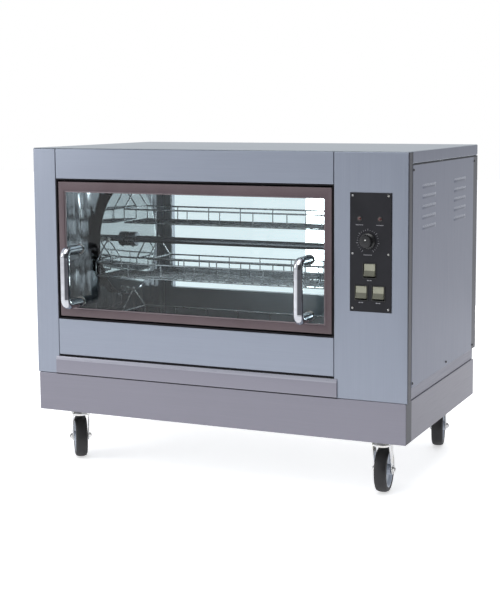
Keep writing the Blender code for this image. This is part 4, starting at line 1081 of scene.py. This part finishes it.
PLATE_BLACK = coated("control_plate_black", 0.0, ((18, 18, 18), 3.0), (0.008, 0.008, 0.011),
                     (0.014, 0.014, 0.018), (0.32, 0.46), ((1200, 1200, 1200),), 0.15, 0.0001, 0.28)
PRINT = moulded("print_grey", (0.26, 0.26, 0.28), (0.40, 0.55))
fit_solid("control_plate", 0.0005, PLATE_BLACK, "control_plate_black")
face_y = plate_low.y
inset = 0.0075
screw_z = (plate_low.z + inset + 0.001, plate_high.z - 0.152, plate_high.z - inset)
screw_x = (plate_low.x + inset, plate_high.x - inset)
screws("control_plate_screws", [(x, face_y, z) for x in screw_x for z in screw_z], AHEAD, 0.0030)

knob_low, knob_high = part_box("timer_knob")
knob_x, _, knob_z = (knob_low + knob_high) / 2
knob_r = (knob_high.x - knob_low.x) / 2
KNOB_GAP = 0.0012
prints = bmesh.new()
TICKS, TICK_SWEEP = 25, math.radians(300)
for tick in range(TICKS):
    angle = math.radians(240) - TICK_SWEEP * tick / (TICKS - 1)
    major = tick % 4 == 0
    reach = 0.0052 if major else 0.0030
    mark = bmesh.ops.create_cube(prints, size=1.0)["verts"]
    size = Matrix.Diagonal((reach, 0.0001, 0.0009 if major else 0.0006, 1.0))
    place = laid((knob_x, face_y - 0.00005, knob_z), -angle, "Y")
    out = Matrix.Translation((knob_r + 0.0055 + reach / 2, 0, 0))
    bmesh.ops.transform(prints, matrix=place @ out @ size, verts=mark)


def add_label(bm, x, z, dashes, dash=0.0028, height=0.0016):
    """A short row of plain dashes in place of a word."""
    pitch = dash * 1.35
    for i in range(dashes):
        left = x + (i - dashes / 2) * pitch
        add_block(bm, (left, face_y - 0.0001, z - height / 2), (left + dash, face_y, z + height / 2))


lamps = [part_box(f"indicator_lamp_{side}") for side in ("left", "right")]
rockers = [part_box(f"rocker_switch_{i}") for i in (1, 2, 3)]
for low, high in lamps:
    add_label(prints, (low.x + high.x) / 2, low.z - 0.0085, 6, 0.0024)
for low, high in rockers:
    add_label(prints, (low.x + high.x) / 2, (low.z + high.z) / 2 - 0.0245, 2, 0.0050, 0.0022)
add_label(prints, knob_x, knob_z - 0.0345, 7, 0.0024)
fit(new_piece("control_plate_print", prints, PRINT, weighted=False), "cabinet", "control_plate_black")

KNOB_BLACK = moulded("knob_black", (0.012, 0.012, 0.013), (0.20, 0.32), 500.0, 0.0001)
POINTER_AND_HIGHLIGHT = moulded("pointer_dot_and_painted_highlight", (0.60, 0.60, 0.58), (0.25, 0.35))
knob = bmesh.new()
knob_lay = laid((knob_x, face_y - KNOB_GAP, knob_z), QUARTER, "X")
skirt_profile = [(0.002, 0.0), (knob_r, 0.0), (knob_r, 0.0014), (knob_r - 0.0012, 0.0034), (0.0172, 0.0046),
                 (0.0164, 0.0060), (0.0156, 0.0166), (0.0146, 0.0184), (0.0120, 0.0192), (0.002, 0.0186)]
turned(knob, skirt_profile, knob_lay, 72)
for vert in knob.verts:
    out = Vector((vert.co.x - knob_x, 0, vert.co.z - knob_z))
    depth = face_y - KNOB_GAP - vert.co.y
    if 0.0055 < depth < 0.0175 and out.length > 0.010:
        flute = 1 - 0.035 * (1 + math.cos(24 * math.atan2(out.z, out.x)))
        vert.co.x, vert.co.z = knob_x + out.x * flute, knob_z + out.z * flute
add_disc(knob, (knob_x, face_y - 0.0190, knob_z), (knob_x, face_y + 0.016, knob_z), 0.003)
# A light grey pointer dot on the knob's face, which also serves as a painted highlight.
dot_z = knob_z + 0.0040
dot = add_disc(knob, (knob_x, face_y - 0.0190, dot_z), (knob_x, face_y - 0.0206, dot_z), 0.0019)
for face in {f for v in dot for f in v.link_faces}:
    face.material_index = 1
fit(new_piece("timer_knob_moulding", knob, KNOB_BLACK, POINTER_AND_HIGHLIGHT, weighted=False, smooth_angle=40),
    "timer_knob", "knob_black", "timer_knob")

ROCKER_LIGHT = moulded("rocker_cream", (0.27, 0.27, 0.205), (0.22, 0.36), 700.0, 0.0001)
# A darker copy of the cream, painted as shade on the paddle's lower faces.
ROCKER_SHADE = moulded("rocker_cream_painted_shade", (0.10, 0.10, 0.072), (0.25, 0.40), 700.0, 0.0001)
BEZEL = moulded("bezel_black", (0.020, 0.020, 0.018), (0.25, 0.40))
for number, (low, high) in enumerate(rockers, 1):
    x, _, z = (low + high) / 2
    node = f"rocker_switch_{number}"
    paddle = cleaned(node)
    soften_sharp(paddle, 0.25, 0.0014, 3)
    # Painted shade: faces turned down, and the lower front, take the darker copy of the cream.
    for face in paddle.faces:
        if face.normal.z < -0.3 or (face.normal.y < -0.5 and face.calc_center_median().z < z - 0.001):
            face.material_index = 1
    fit(new_piece(f"{node}_paddle", paddle, ROCKER_LIGHT, ROCKER_SHADE), node, "rocker_cream", node)
    half = Vector((0.0165 + 0.0012, 0.0, 0.0180 + 0.0012))
    centre = Vector((x, face_y, z))
    bezel = picture_frame(centre - half - Vector((0, 0.0016, 0)), centre + half + Vector((0, 0.0002, 0)),
                          (0.0016,) * 3, 0.0005, 2)
    fit(new_piece(f"{node}_bezel", bezel, BEZEL), "cabinet", "rocker_cream")

LENS_PROFILE = [(0.0006, 0.0), (0.0046, 0.0), (0.0046, 0.0008), (0.0040, 0.0018), (0.0024, 0.0024),
                (0.0006, 0.0026)]
RING_PROFILE = [(0.0047, 0.0), (0.0068, 0.0), (0.0066, 0.0010), (0.0056, 0.0014), (0.0047, 0.0010)]
for side, (low, high) in zip(("left", "right"), lamps):
    x, _, z = (low + high) / 2
    lens_finish, lens_tree, lens_shader = new_finish(f"lens_red_{side}")
    glow = grain(lens_tree, (400, 400, 400), 2.0)
    tone = blend(lens_tree, glow, (0.040, 0.006, 0.007), (0.080, 0.012, 0.012))
    dress(lens_tree, lens_shader, Base_Color=tone, Roughness=0.16, Coat_Weight=0.6)
    lens = bmesh.new()
    lay = laid((x, face_y, z), QUARTER, "X")
    turned(lens, LENS_PROFILE, lay, 32)
    fit(new_piece(f"indicator_lens_{side}", lens, lens_finish, weighted=False, smooth_angle=60),
        "cabinet", "indicator_red", f"indicator_lamp_{side}")
    ring = bmesh.new()
    turned(ring, RING_PROFILE, lay, 32)
    fit(new_piece(f"indicator_ring_{side}", ring, BEZEL, weighted=False, smooth_angle=60),
        "cabinet", "knob_black")
